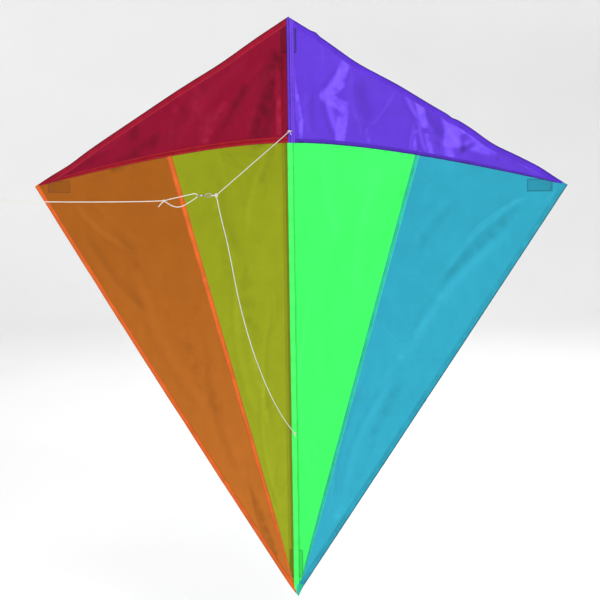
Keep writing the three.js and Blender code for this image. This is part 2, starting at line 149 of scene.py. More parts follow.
def softbox(name, azimuth, elevation, distance, size, power):
    """A square soft light aimed at the middle of the sail."""
    a, e = math.radians(azimuth), math.radians(elevation)
    way = Vector((math.sin(a) * math.cos(e), -math.cos(a) * math.cos(e), math.sin(e)))
    data = bpy.data.lights.new(name, "AREA")
    data.shape = "SQUARE"
    data.size = size
    data.energy = power
    light = bpy.data.objects.new(name, data)
    light.visible_camera = False
    bpy.context.scene.collection.objects.link(light)
    turn = way.to_track_quat("Z", "Y").to_matrix().to_4x4()
    light.matrix_world = Matrix.Translation(Vector((0, 0, -0.15)) + way * distance) @ turn
    return light


def place_lights():
    """A key, a fill and a light behind, two washes on the backdrop and a pale sky."""
    softbox("key", 24, 36, 3.4, 2.2, 84)
    softbox("fill", -48, 26, 3.4, 2.2, 42)
    softbox("back_light", 160, 50, 3.0, 2.0, 80)
    for name, azimuth in (("backdrop_light_rear", 190), ("backdrop_light_front", 10)):
        wash = softbox(name, azimuth, 62, 2.9, 2.6, 42)
        wash.matrix_world = wash.matrix_world @ Matrix.Rotation(math.radians(-118), 4, "X")
    world = bpy.data.worlds.new("studio")
    world.use_nodes = True
    sky = world.node_tree.nodes["Background"]
    sky.inputs["Color"].default_value = (1, 1, 1, 1)
    sky.inputs["Strength"].default_value = 0.22
    bpy.context.scene.world = world
    bpy.context.scene.view_settings.view_transform = "Standard"


def studio_floor():
    """A pale floor that curves up into a round backdrop."""
    bm = bmesh.new()
    bend, level, reach, top = 1.2, -0.72, 4.6, 3.4
    outline = [bm.verts.new((0, 0, level))]
    for i in range(13):
        angle = math.pi / 2 * i / 12
        outline.append(bm.verts.new((
            reach - bend + bend * math.sin(angle), 0, level + bend * (1 - math.cos(angle)),
        )))
    outline.append(bm.verts.new((reach, 0, top)))
    edges = [bm.edges.new(pair) for pair in zip(outline, outline[1:])]
    bmesh.ops.spin(bm, geom=outline + edges, cent=(0, 0, 0), axis=(0, 0, 1),
                   angle=2 * math.pi, steps=72, use_merge=True)
    bmesh.ops.remove_doubles(bm, verts=bm.verts, dist=0.0001)
    bmesh.ops.recalc_face_normals(bm, faces=bm.faces)
    if sum(f.normal.z * f.calc_area() for f in bm.faces) < 0:
        bmesh.ops.reverse_faces(bm, faces=bm.faces)
    floor = finished("studio_floor", bm, floor_paint())


# ---------------------------------------------------------------- material kit


def painted(name, colour, roughness, **sockets):
    """A new material; returns it with its node tree and its shader."""
    material = bpy.data.materials.new(name)
    material.use_nodes = True
    tree = material.node_tree
    shader = tree.nodes["Principled BSDF"]
    shader.inputs["Base Color"].default_value = (*colour, 1)
    shader.inputs["Roughness"].default_value = roughness
    for socket, value in sockets.items():
        shader.inputs[socket.replace("_", " ")].default_value = value
    return material, tree, shader


def put(tree, socket, value):
    """Links a node's output to a socket, or sets the socket to a plain value."""
    if isinstance(value, bpy.types.NodeSocket):
        tree.links.new(value, socket)
    elif hasattr(value, "__len__") and len(value) == 3 and socket.type == "RGBA":
        socket.default_value = (*value, 1)
    else:
        socket.default_value = value


def calc(tree, operation, *values, clamp=False):
    """The output of one sum."""
    node = tree.nodes.new("ShaderNodeMath")
    node.operation = operation
    node.use_clamp = clamp
    for socket, value in zip(node.inputs, values):
        put(tree, socket, value)
    return node.outputs[0]


def blend_colour(tree, factor, a, b):
    """From colour a, at a factor of 0, to colour b, at 1."""
    node = tree.nodes.new("ShaderNodeMix")
    node.data_type = "RGBA"
    for socket, value in zip([s for s in node.inputs if s.enabled], (factor, a, b)):
        put(tree, socket, value)
    return next(s for s in node.outputs if s.enabled)


def spread(tree, value, low, high, to_low, to_high):
    """Stretches a value from one range to another, held at its ends."""
    node = tree.nodes.new("ShaderNodeMapRange")
    for key, number in (("Value", value), ("From Min", low), ("From Max", high),
                        ("To Min", to_low), ("To Max", to_high)):
        put(tree, node.inputs[key], number)
    return node.outputs["Result"]


def place_of(tree):
    """The point of the piece, as x, y and z in metres."""
    source = tree.nodes.new("ShaderNodeTexCoord").outputs["Object"]
    parts = tree.nodes.new("ShaderNodeSeparateXYZ")
    tree.links.new(source, parts.inputs[0])
    return source, parts.outputs["X"], parts.outputs["Y"], parts.outputs["Z"]


def grain(tree, source, stretch, scale, detail=2.0):
    """Noise of a given scale, stretched along the axes."""
    mapping = tree.nodes.new("ShaderNodeMapping")
    put(tree, mapping.inputs["Vector"], source)
    mapping.inputs["Scale"].default_value = stretch
    noise = tree.nodes.new("ShaderNodeTexNoise")
    tree.links.new(mapping.outputs[0], noise.inputs["Vector"])
    noise.inputs["Scale"].default_value = scale
    noise.inputs["Detail"].default_value = detail
    return noise.outputs["Fac"]


def threads(tree, value, pitch):
    """Rounded threads side by side: 0 between two threads and 1 on top of one."""
    turn = calc(tree, "MULTIPLY", value, math.pi / (pitch * MM))
    return calc(tree, "ABSOLUTE", calc(tree, "SINE", turn))


def raised(tree, shader, height, strength, distance):
    """Bumps the shader's surface by a height from 0 to 1, distance millimetres high."""
    bump = tree.nodes.new("ShaderNodeBump")
    bump.inputs["Strength"].default_value = strength
    bump.inputs["Distance"].default_value = distance * MM
    tree.links.new(height, bump.inputs["Height"])
    tree.links.new(bump.outputs[0], shader.inputs["Normal"])


def attribute(tree, name):
    """A value that the piece's points carry."""
    node = tree.nodes.new("ShaderNodeAttribute")
    node.attribute_name = name
    return node.outputs["Fac"]


def inside(tree, value, low, high, soft=0.25):
    """1 where a length in metres lies between two lengths in millimetres, with soft ends."""
    rise = spread(tree, value, (low - soft) * MM, (low + soft) * MM, 0, 1)
    fall = spread(tree, value, (high - soft) * MM, (high + soft) * MM, 1, 0)
    return calc(tree, "MULTIPLY", rise, fall)


# ---------------------------------------------------------------- materials


def floor_paint():
    """Matt off-white paint, a little uneven."""
    material, tree, shader = painted("floor_paint", (0.8, 0.8, 0.8), 0.8)
    source = place_of(tree)[0]
    mottle = spread(tree, grain(tree, source, (1, 1, 1), 2.0), 0.3, 0.7, 0, 1)
    shade = blend_colour(tree, mottle, (0.78, 0.78, 0.785), (0.80, 0.80, 0.80))
    tree.links.new(shade, shader.inputs["Base Color"])
    return material


def sail_cloth(name, colour, gloss, shine=0.02, lightening=0.0, crease_shade_strength=0.5, shadows=()):
    """Thin coated taffeta. Its arguments set the gloss, how pale its painted crease highlights are, how much
    lighter it gets towards the tail, how strongly the painted highlight and shade along its folds come out,
    and the painted shadows of the pockets and rods behind the cloth, each as left, right, bottom, top and
    how dark it is."""
    material, tree, shader = painted(name, colour, 0.4, Specular_IOR_Level=gloss)
    source, x, _, z = place_of(tree)
    mottle = spread(tree, grain(tree, source, (1, 0.2, 1), 16, 3), 0.3, 0.7, 0, 1)
    shade = blend_colour(tree, mottle, [c * 0.94 for c in colour], [min(1, c * 1.06) for c in colour])
    # Lighter towards the tail.
    if lightening:
        towards_tail = spread(tree, z, 0.04, -0.46, 0, 1)
        shade = blend_colour(tree, towards_tail, shade, [min(1, c * (1 + lightening) + 0.02 * lightening) for c in colour])
    blotch = spread(tree, grain(tree, source, (1, 0.2, 0.6), 70, 4), 0.35, 0.65, 0, 1)
    shade = blend_colour(tree, calc(tree, "MULTIPLY", blotch, 0.12), shade, [c * 0.6 for c in colour])
    warp_slub = spread(tree, grain(tree, source, (900, 1, 9), 1), 0.35, 0.65, 0, 1)
    weft_slub = spread(tree, grain(tree, source, (9, 1, 900), 1), 0.35, 0.65, 0, 1)
    slub = calc(tree, "MULTIPLY", calc(tree, "ADD", warp_slub, weft_slub), 0.5)
    shade = blend_colour(tree, calc(tree, "MULTIPLY", slub, 0.08), shade, [c * 0.3 for c in colour])
    # Painted highlight and painted shade along the folds and creases, in a paler and a darker colour.
    fold = attribute(tree, "fold")
    pale, painted_shade_colour = [min(1, c * 1.5 + shine) for c in colour], [c * 0.5 for c in colour]
    shade = blend_colour(tree, calc(tree, "MULTIPLY", fold, crease_shade_strength, clamp=True), shade, pale)
    shade = blend_colour(tree, calc(tree, "MULTIPLY", fold, -crease_shade_strength, clamp=True), shade, painted_shade_colour)
    # Painted highlights and painted shade on the facets that turn to or from the light, with ragged edges.
    ragged = spread(tree, grain(tree, source, (1, 0.2, 1), 70, 6), 0.34, 0.66, 0.3, 1.15)
    facet = calc(tree, "MULTIPLY", attribute(tree, "glint"), ragged)
    shade = blend_colour(tree, spread(tree, facet, 0.1, 0.85, 0, 0.9), shade, pale)
    shade = blend_colour(tree, spread(tree, facet, -0.08, -0.8, 0, 0.9), shade, painted_shade_colour)
    # Painted shadows of the pockets and rods behind the cloth, darker at their outlines.
    for left, right, bottom, top, dark in shadows:
        mask = calc(tree, "MULTIPLY", inside(tree, x, left, right), inside(tree, z, bottom, top))
        core = calc(tree, "MULTIPLY", inside(tree, x, left + 1.5, right - 1.5),
                    inside(tree, z, bottom + 1.5, top - 1.5))
        painted_shadow = calc(tree, "SUBTRACT", calc(tree, "MULTIPLY", mask, dark),
                    calc(tree, "MULTIPLY", core, dark / 2))
        shade = blend_colour(tree, painted_shadow, shade, [c * 0.12 for c in colour])
    tree.links.new(shade, shader.inputs["Base Color"])
    tree.links.new(spread(tree, mottle, 0, 1, 0.32, 0.44), shader.inputs["Roughness"])
    weave = calc(tree, "MULTIPLY", threads(tree, x, 0.55), threads(tree, z, 0.55))
    crinkles = grain(tree, source, (1, 0.2, 1), 120, 4)
    height = calc(tree, "ADD", calc(tree, "MULTIPLY", weave, 0.10),
                  calc(tree, "ADD", crinkles, calc(tree, "MULTIPLY", slub, 0.08)))
    raised(tree, shader, height, 0.6, 0.5)
    return material


def band_cloth(name, colour, lines=(), gloss=0.1):
    """The same cloth folded double. Each of its lines has a share of the width, from the outer edge,
    a half width and a strength: paler above 0, a painted highlight on a fold, and darker below, painted
    shade at a fold together with its dark seam line."""
    material, tree, shader = painted(name, colour, 0.42, Specular_IOR_Level=gloss)
    source, x, _, z = place_of(tree)
    mottle = spread(tree, grain(tree, source, (1, 0.2, 1), 60, 3), 0.3, 0.7, 0, 1)
    shade = blend_colour(tree, mottle, [c * 0.82 for c in colour], [min(1, c * 1.08) for c in colour])
    across = attribute(tree, "across")
    uneven = spread(tree, grain(tree, source, (1, 0.2, 1), 240, 2), 0.3, 0.7, 0.55, 1)
    # Painted highlights on the folds and painted shade at them, with the dark seam lines.
    for middle, reach, strength in lines:
        off = calc(tree, "ABSOLUTE", calc(tree, "SUBTRACT", across, middle))
        line = spread(tree, off, 0.5 * reach, 1.25 * reach, abs(strength), 0)
        tint = [min(1, c * 1.5 + 0.03) for c in colour] if strength > 0 else [c * 0.15 for c in colour]
        shade = blend_colour(tree, calc(tree, "MULTIPLY", line, uneven), shade, tint)
    tree.links.new(shade, shader.inputs["Base Color"])
    weave = calc(tree, "MULTIPLY", threads(tree, x, 0.55), threads(tree, z, 0.55))
    raised(tree, shader, calc(tree, "ADD", weave, calc(tree, "MULTIPLY", mottle, 3)), 0.4, 0.12)
    return material


def thread_finish(name, colour):
    """Sewing thread: two fine plies twisted together, with painted shade in the grooves between them."""
    material, tree, shader = painted(name, colour, 0.5, Sheen_Weight=0.2)
    uv = tree.nodes.new("ShaderNodeUVMap").outputs[0]
    parts = tree.nodes.new("ShaderNodeSeparateXYZ")
    tree.links.new(uv, parts.inputs[0])
    twist = calc(tree, "ADD", calc(tree, "MULTIPLY", parts.outputs["X"], 2 * math.pi),
                 calc(tree, "MULTIPLY", parts.outputs["Y"], 2 * math.pi / (0.8 * MM)))
    ply_groove_shade = spread(tree, calc(tree, "SINE", twist), -1, 1, 0, 1)
    shade = blend_colour(tree, ply_groove_shade, [c * 0.65 for c in colour], colour)
    tree.links.new(shade, shader.inputs["Base Color"])
    return material


def twine_finish():
    """Bridle line: polyester twine, a little fuzzy, with painted shade in its grooves and a few soiled
    patches.
    """
    material, tree, shader = painted("twine", (0.86, 0.84, 0.78), 0.62, Sheen_Weight=0.25)
    uv = tree.nodes.new("ShaderNodeUVMap").outputs[0]
    parts = tree.nodes.new("ShaderNodeSeparateXYZ")
    tree.links.new(uv, parts.inputs[0])
    twist = calc(tree, "ADD", calc(tree, "MULTIPLY", parts.outputs["X"], 6 * math.pi),
                 calc(tree, "MULTIPLY", parts.outputs["Y"], -6 * math.pi / (4.2 * MM)))
    twine_groove_shade = spread(tree, calc(tree, "COSINE", twist), -1, 0.2, 0, 1)
    fibres = calc(tree, "SINE", calc(tree, "ADD", calc(tree, "MULTIPLY", parts.outputs["X"], 60),
                                     calc(tree, "MULTIPLY", parts.outputs["Y"], 9000)))
    source = place_of(tree)[0]
    soil = spread(tree, grain(tree, source, (1, 1, 1), 90), 0.35, 0.7, 0, 0.35)
    shade = blend_colour(tree, twine_groove_shade, (0.36, 0.34, 0.30), (0.72, 0.70, 0.64))
    shade = blend_colour(tree, soil, shade, (0.56, 0.52, 0.45))
    tree.links.new(shade, shader.inputs["Base Color"])
    raised(tree, shader, spread(tree, fibres, -1, 1, 0, 1), 0.35, 0.05)
    return material


def nickel_finish():
    """Bright nickel plate with fine drawing marks and a few dull spots."""
    material, tree, shader = painted("nickel_plate", (0.34, 0.33, 0.32), 0.22, Metallic=1.0)
    source = place_of(tree)[0]
    scratch = grain(tree, source, (1500, 1500, 4000), 1, 3)
    dull = spread(tree, grain(tree, source, (1, 1, 1), 900, 3), 0.55, 0.75, 0, 1)
    shade = blend_colour(tree, dull, (0.34, 0.33, 0.32), (0.10, 0.10, 0.09))
    tree.links.new(shade, shader.inputs["Base Color"])
    tree.links.new(spread(tree, dull, 0, 1, 0.18, 0.45), shader.inputs["Roughness"])
    raised(tree, shader, scratch, 0.2, 0.03)
    return material


def rod_finish():
    """Black pultruded glass fibre: fine grooves along the rod, rubbed greyer in places."""
    material, tree, shader = painted("rod_black", (0.018, 0.018, 0.02), 0.34, Coat_Weight=0.15)
    uv = tree.nodes.new("ShaderNodeUVMap").outputs[0]
    mapping = tree.nodes.new("ShaderNodeMapping")
    tree.links.new(uv, mapping.inputs["Vector"])
    mapping.inputs["Scale"].default_value = (40, 20, 1)
    streak = tree.nodes.new("ShaderNodeTexNoise")
    tree.links.new(mapping.outputs[0], streak.inputs["Vector"])
    streak.inputs["Scale"].default_value = 1
    source = place_of(tree)[0]
    rub = spread(tree, grain(tree, source, (1, 1, 1), 45, 4), 0.5, 0.75, 0, 0.6)
    shade = blend_colour(tree, streak.outputs["Fac"], (0.012, 0.012, 0.014), (0.035, 0.035, 0.038))
    shade = blend_colour(tree, rub, shade, (0.075, 0.075, 0.078))
    tree.links.new(shade, shader.inputs["Base Color"])
    tree.links.new(spread(tree, streak.outputs["Fac"], 0.3, 0.7, 0.28, 0.48), shader.inputs["Roughness"])
    raised(tree, shader, streak.outputs["Fac"], 0.35, 0.06)
    return material


def vinyl_finish():
    """Soft moulded vinyl with a satin grain and pale scuffs."""
    material, tree, shader = painted("vinyl_black", (0.016, 0.016, 0.018), 0.5)
    source = place_of(tree)[0]
    pebble = grain(tree, source, (1, 1, 1), 1600, 3)
    scuff = spread(tree, grain(tree, source, (1, 1, 1), 260, 4), 0.58, 0.72, 0, 0.7)
    shade = blend_colour(tree, pebble, (0.012, 0.012, 0.014), (0.03, 0.03, 0.033))
    shade = blend_colour(tree, scuff, shade, (0.085, 0.085, 0.09))
    tree.links.new(shade, shader.inputs["Base Color"])
    tree.links.new(spread(tree, scuff, 0, 0.7, 0.42, 0.62), shader.inputs["Roughness"])
    raised(tree, shader, pebble, 0.3, 0.08)
    return material


def webbing_finish():
    """Dense black pocket webbing: a twill rib, with painted highlights on the yarn tops and painted shade
    between them.
    """
    material, tree, shader = painted("pocket_webbing", (0.02, 0.021, 0.026), 0.72, Sheen_Weight=0.3)
    uv = tree.nodes.new("ShaderNodeUVMap").outputs[0]
    parts = tree.nodes.new("ShaderNodeSeparateXYZ")
    tree.links.new(uv, parts.inputs[0])
    along = threads(tree, calc(tree, "ADD", parts.outputs["X"], parts.outputs["Y"]), 1.1)
    across = threads(tree, parts.outputs["X"], 0.8)
    weave = calc(tree, "MULTIPLY", along, across)
    source = place_of(tree)[0]
    lightening = spread(tree, grain(tree, source, (1, 1, 1), 120, 3), 0.4, 0.75, 0, 0.5)
    # Painted highlights on the yarn tops and painted shade between the yarns, then lighter patches.
    shade = blend_colour(tree, weave, (0.008, 0.008, 0.010), (0.045, 0.047, 0.056))
    shade = blend_colour(tree, lightening, shade, (0.07, 0.072, 0.08))
    tree.links.new(shade, shader.inputs["Base Color"])
    raised(tree, shader, weave, 0.7, 0.25)
    return material


# ---------------------------------------------------------------- shape kit


def finished(name, bm, material, smooth=True):
    """Turns a worked bmesh into a piece at the origin."""
    mesh = bpy.data.meshes.new(name)
    bm.to_mesh(mesh)
    bm.free()
    mesh.materials.append(material)
    if smooth:
        mesh.shade_smooth()
    piece = bpy.data.objects.new(name, mesh)
    bpy.context.scene.collection.objects.link(piece)
    return piece


def sewn(rows, marks=None):
    """A bmesh grid whose points go to rows, an array of points in millimetres. Its UV map runs
    across in grid steps and along in metres, and marks are values that its points carry."""
    along, across = rows.shape[0] - 1, rows.shape[1] - 1
    steps = np.linalg.norm(np.diff(rows, axis=0), axis=2).mean(axis=1)
    reach = np.concatenate([[0], np.cumsum(steps)]) * MM
    bm = bmesh.new()
    bmesh.ops.create_grid(bm, x_segments=across, y_segments=along, size=0.5)
    layers = {key: bm.verts.layers.float.new(key) for key in (marks or {})}
    uv = bm.loops.layers.uv.new("UVMap")
    where = {}
    for v in bm.verts:
        i, k = round((v.co.y + 0.5) * along), round((v.co.x + 0.5) * across)
        where[v] = (i, k)
        v.co = Vector(rows[i, k]) * MM
        for key, layer in layers.items():
            v[layer] = marks[key][i, k]
    for face in bm.faces:
        for loop in face.loops:
            i, k = where[loop.vert]
            loop[uv].uv = (k / across, reach[i])
    return bm


def close_round(bm, ends=True):
    """Welds a grid that was wrapped into a tube, and closes its ends."""
    bmesh.ops.remove_doubles(bm, verts=bm.verts, dist=0.002 * MM)
    if ends:
        bmesh.ops.holes_fill(bm, edges=[e for e in bm.edges if e.is_boundary])
    bmesh.ops.recalc_face_normals(bm, faces=bm.faces)
    return bm


def smooth_route(points, step):
    """A smooth curve through the points, in even steps of about step millimetres."""
    p = np.array(points, float)
    p = np.vstack([2 * p[0] - p[1], p, 2 * p[-1] - p[-2]])

    def mix(t, a, b, low, high):
        return (a * (high - t) + b * (t - low)) / (high - low)

    found = []
    for a, b, c, d in zip(p, p[1:], p[2:], p[3:]):
        gaps = [np.linalg.norm(q - r) ** 0.5 for q, r in ((b, a), (c, b), (d, c))]
        k0, k1, k2, k3 = np.cumsum([0, *gaps])
        for t in np.linspace(k1, k2, 24, endpoint=False):
            first, second, third = mix(t, a, b, k0, k1), mix(t, b, c, k1, k2), mix(t, c, d, k2, k3)
            near, far = mix(t, first, second, k0, k2), mix(t, second, third, k1, k3)
            found.append(mix(t, near, far, k1, k2))
    found.append(p[-2])
    return evenly(np.array(found), step)


def evenly(points, step):
    """The same line with its points in even steps."""
    reach = np.concatenate([[0], np.cumsum(np.linalg.norm(np.diff(points, axis=0), axis=1))])
    count = max(2, round(reach[-1] / step)) + 1
    even = np.linspace(0, reach[-1], count)
    return np.column_stack([np.interp(even, reach, points[:, i]) for i in range(3)])


def frames_along(points, closed=False):
    """Two directions square to the line at each point, carried along without twisting."""
    ahead = np.gradient(points, axis=0)
    if closed:
        ahead[0] = ahead[-1] = points[1] - points[-2]
    ahead /= np.linalg.norm(ahead, axis=1)[:, None]
    start = np.cross(ahead[0], (0, 0, 1) if abs(ahead[0][2]) < 0.9 else (1, 0, 0))
    side = [start / np.linalg.norm(start)]
    for way in ahead[1:]:
        carried = side[-1] - way * (side[-1] @ way)
        side.append(carried / np.linalg.norm(carried))
    side = np.array(side)
    other = np.cross(ahead, side)
    if closed:
        slip = math.atan2(side[-1] @ other[0], side[-1] @ side[0])
        angle = -slip * np.linspace(0, 1, len(points))[:, None]
        side, other = (side * np.cos(angle) + other * np.sin(angle),
                       other * np.cos(angle) - side * np.sin(angle))
    return side, other


def tube(name, points, radius, sides, material, lobes=0, dip=0.0, pitch=4.2, closed=False):
    """A round piece along a line. Lobes twist round it like the strands of a twine."""
    side, other = frames_along(points, closed)
    reach = np.concatenate([[0], np.cumsum(np.linalg.norm(np.diff(points, axis=0), axis=1))])
    angle = np.linspace(0, 2 * math.pi, sides + 1)[None, :]
    turns = reach / pitch
    if closed:
        turns = turns / turns[-1] * round(turns[-1])
    r = radius * (1 - dip * (0.5 - 0.5 * np.cos(lobes * angle - 2 * math.pi * lobes * turns[:, None])))
    rows = (points[:, None] + side[:, None] * (r * np.cos(angle))[..., None]
            + other[:, None] * (r * np.sin(angle))[..., None])
    bm = close_round(sewn(rows), ends=not closed)
    return finished(name, bm, material)


def twine(name, points, material, closed=False, radius=CORD_R):
    """Three-strand cord along a line."""
    return tube(name, points, radius, 12, material, lobes=3, dip=0.22, closed=closed)


def turned(outline, matrix, steps=40):
    """Spins an outline of (along, radius) points, in millimetres, round the Z axis, then places it."""
    bm = bmesh.new()
    corners = [bm.verts.new((r * MM, 0, a * MM)) for a, r in outline]
    edges = [bm.edges.new(pair) for pair in zip(corners, corners[1:])]
    if outline[0][1] > 0:
        edges.append(bm.edges.new((corners[-1], corners[0])))
    bmesh.ops.spin(bm, geom=corners + edges, cent=(0, 0, 0), axis=(0, 0, 1),
                   angle=2 * math.pi, steps=steps, use_merge=True)
    bmesh.ops.remove_doubles(bm, verts=bm.verts, dist=0.002 * MM)
    bmesh.ops.transform(bm, matrix=matrix, verts=bm.verts)
    bmesh.ops.recalc_face_normals(bm, faces=bm.faces)
    return bm


def rounded_block(low, high, radius):
    """A block with softened edges, from its lowest to its highest corner in millimetres."""
    bm = bmesh.new()
    low, high = Vector(low) * MM, Vector(high) * MM
    bmesh.ops.create_cube(bm, size=1)
    bmesh.ops.scale(bm, vec=high - low, verts=bm.verts)
    bmesh.ops.translate(bm, vec=(low + high) / 2, verts=bm.verts)
    bmesh.ops.bevel(bm, geom=bm.edges[:], offset=radius * MM, offset_type="OFFSET", affect="EDGES",
                    segments=3, profile=0.5, material=-1)
    return bm


def joined(parts):
    """Several bmeshes as one."""
    whole = bmesh.new()
    for part in parts:
        mesh = bpy.data.meshes.new("part")
        part.to_mesh(mesh)
        part.free()
        whole.from_mesh(mesh)
        bpy.data.meshes.remove(mesh)
    return whole


# ---------------------------------------------------------------- the sail's surface


def arch(t):
    """The arched seam on the right half, from the spine, 0, to the wing tip, 1."""
    return 2 * t * (1 - t) * SEAM_REACH + t * t * HALF_SPAN, SEAM_CROWN * (1 - t * t)


def arch_t(x):
    """Where the arched seam reaches x, from 0 to 1."""
    a = HALF_SPAN - 2 * SEAM_REACH
    return (-SEAM_REACH + np.sqrt(SEAM_REACH ** 2 + a * np.clip(x, 0, HALF_SPAN))) / a


MEET = float(arch_t(LOWER_SEAM_TOP))


def bell(t, middle, width):
    """1 in the middle, falling smoothly to 0."""
    return np.exp(-(((t - middle) / width) ** 2))


def dent(t, side):
    """How far the leading edge sits inside the straight line, t from the nose to the wing tip."""
    if side > 0:
        return (4.4 * bell(t, 0.26, 0.11) + 1.8 * bell(t, 0.5, 0.13) + 3.6 * bell(t, 0.74, 0.07)
                - 1.2 * bell(t, 0.9, 0.045) - 1.5 * bell(t, 0.098, 0.012) + 1.2 * bell(t, 0.59, 0.012))
    return 1.8 * bell(t, 0.26, 0.1) + 1.6 * bell(t, 0.86, 0.06)


LEAD_LENGTH = math.hypot(HALF_SPAN, NOSE_RISE)
LEAD_IN = (-NOSE_RISE / LEAD_LENGTH, -HALF_SPAN / LEAD_LENGTH)
TRAIL_LENGTH = math.hypot(HALF_SPAN, TAIL_DROP)
TRAIL_IN = (-TAIL_DROP / TRAIL_LENGTH, HALF_SPAN / TRAIL_LENGTH)


def leading(t, side):
    """The leading edge on the right half, from the nose, 0, to the wing tip, 1."""
    inwards = dent(t, side)
    return t * HALF_SPAN + LEAD_IN[0] * inwards, NOSE_RISE * (1 - t) + LEAD_IN[1] * inwards


def trailing(t):
    """The trailing edge on the right half, from the tail, 0, to the wing tip, 1."""
    return t * HALF_SPAN, TAIL_DROP * (t - 1)


def lower_seam(t):
    """The seam between the inner and outer panels, from the tail, 0, to the arched seam, 1."""
    top_x, top_z = arch(MEET)
    foot_z = -TAIL_DROP + TAIL_LAP
    return LOWER_SEAM_FOOT + t * (top_x - LOWER_SEAM_FOOT), foot_z + t * (top_z - foot_z)


# Folds and creases in the cloth: from a point, to a point, half width and height towards the front.
FOLDS = [
    ((72, 152), (46, 120), 8, 0.9), ((46, 120), (64, 60), 9, 0.9), ((8, 124), (15, 66), 3.5, 0.5),
    ((28, 120), (30, 70), 9, -0.4), ((92, 66), (84, 92), 3, 0.35), ((88, 140), (96, 84), 16, -0.4),
    ((146, 118), (163, 84), 6, 0.7), ((163, 84), (172, 42), 5, 0.7), ((160, 84), (152, 46), 4, 0.5),
    ((170, 100), (200, 52), 8, -0.6), ((190, 96), (214, 48), 9, 0.8), ((214, 48), (246, 66), 8, 0.7),
    ((225, 78), (216, 44), 6, -0.6), ((262, 56), (300, 22), 7, 0.5), ((300, 26), (334, 10), 5, -0.4),
    ((-12, 170), (-92, 62), 9, -0.7), ((-20, 150), (-58, 62), 7, 0.5), ((-8, 130), (-28, 62), 6, -0.6),
    ((-60, 160), (-150, 60), 12, 0.5), ((-120, 128), (-170, 50), 9, -0.4),
    ((-190, 88), (-260, 40), 9, 0.5), ((-236, 60), (-320, 14), 6, -0.4),
    ((298, -14), (226, -62), 5, 0.5), ((292, -24), (196, -118), 8, -0.6),
    ((270, -60), (150, -210), 12, 0.5), ((210, -20), (160, -80), 12, -0.4),
    ((120, -260), (64, -400), 9, 0.5), ((96, -240), (50, -420), 6, -0.4),
    ((-296, -22), (-220, -84), 8, 0.5), ((-280, -60), (-190, -170), 12, -0.5),
    ((-210, -120), (-120, -290), 14, 0.5), ((-62, -392), (-24, -502), 5, -0.6),
    ((-120, -200), (-80, -380), 12, -0.4), ((-74, -110), (-52, -300), 8, 0.4),
    ((-40, -240), (-20, -430), 5, 0.45), ((-26, -160), (-30, -330), 6, -0.4),
    ((-96, 8), (-70, -90), 12, -0.4), ((-34, 40), (-60, -60), 8, 0.35), ((40, 44), (56, -60), 14, 0.4),
    ((70, -40), (44, -260), 12, -0.35), ((26, -120), (20, -400), 7, 0.35),
    ((110, 20), (80, -130), 12, 0.4),
]


# Facets where the cloth turns to the light, or from it below 0, as FOLDS.
GLINTS = [
    ((72, 158), (62, 128), 7, 1.0), ((64, 130), (46, 115), 8, 0.9), ((48, 114), (70, 100), 8, 0.9),
    ((70, 102), (64, 62), 7.5, 0.9), ((10, 116), (15.5, 84), 2.4, 0.9),
    ((15.5, 86), (13, 60), 2.8, 0.8), ((7, 150), (9, 112), 1.6, 0.5), ((163, 110), (171, 78), 5, 0.95),
    ((160, 70), (158, 44), 3, 0.6), ((174, 64), (180, 40), 3.4, 0.75), ((184, 100), (206, 84), 6, 0.85),
    ((206, 86), (204, 46), 12, 0.95), ((216, 74), (236, 62), 6, 0.9), ((230, 52), (258, 44), 9, 0.7),
    ((212, 43), (229, 54), 5, -1.0), ((184, 66), (194, 42), 5, -0.5), ((268, 50), (262, 36), 4, -0.6),
    ((291, 32), (300, 24), 3.5, 0.6), ((97, 72), (101, 57), 3, 0.5), ((88, 128), (94, 80), 14, -0.25),
    ((-14, 160), (-42, 62), 13, -0.95), ((-15, 146), (-14, 70), 4, 0.8),
    ((-58, 128), (-98, 62), 6, -0.6), ((-84, 104), (-112, 62), 7, 0.45),
    ((-128, 118), (-104, 72), 20, 0.3), ((-196, 90), (-208, 68), 9, -0.6),
    ((-170, 66), (-236, 26), 8, -0.6), ((-150, 100), (-162, 60), 7, 0.3),
    ((-246, 44), (-318, 12), 4, -0.5), ((-92, 44), (-40, 40), 4, -0.25),
    ((-24, 48), (-38, 10), 6, -0.3), ((-62, -110), (-52, -200), 11, -0.3),
    ((-44, -250), (-30, -330), 5, 0.35), ((-60, -190), (-46, -260), 5, 0.35),
    ((-96, -30), (-84, -110), 10, -0.25), ((-236, -56), (-180, -140), 12, -0.28),
    ((-262, -24), (-206, -70), 7, 0.3), ((-156, -176), (-108, -290), 14, -0.28),
    ((-62, -396), (-28, -486), 5, -0.45), ((-90, -320), (-60, -400), 8, 0.3),
    ((290, -16), (222, -72), 5, 0.3), ((276, -42), (196, -118), 7, -0.32),
    ((190, -140), (120, -250), 8, 0.25), ((134, -260), (68, -404), 9, -0.28),
    ((96, -330), (52, -440), 6, 0.35), ((-200, -90), (-150, -190), 7, 0.28),
    ((150, 4), (96, -110), 10, -0.25),
]


def scattered_creases():
    """Small creases left from folding, as FOLDS, at chance places on the sail."""
    draw = np.random.default_rng(5)
    creases = []
    while len(creases) < 110:
        x, z = draw.uniform(-HALF_SPAN, HALF_SPAN), draw.uniform(-TAIL_DROP, NOSE_RISE)
        way, length = draw.uniform(0.15, 0.85) * math.pi, draw.uniform(14, 62)
        width, high = draw.uniform(2.2, 4.5), draw.uniform(0.12, 0.3) * draw.choice([-1, 1])
        edge = NOSE_RISE if z > 0 else TAIL_DROP
        if abs(x) / HALF_SPAN + abs(z) / edge < 0.93:
            if abs(z) > 60:
                way = math.pi / 2 + 0.5 * (way - math.pi / 2) - 0.4 * math.copysign(1, x * z)
            end = (x + length * math.cos(way), z + length * math.sin(way))
            creases.append(((x, z), end, width, high))
    return creases


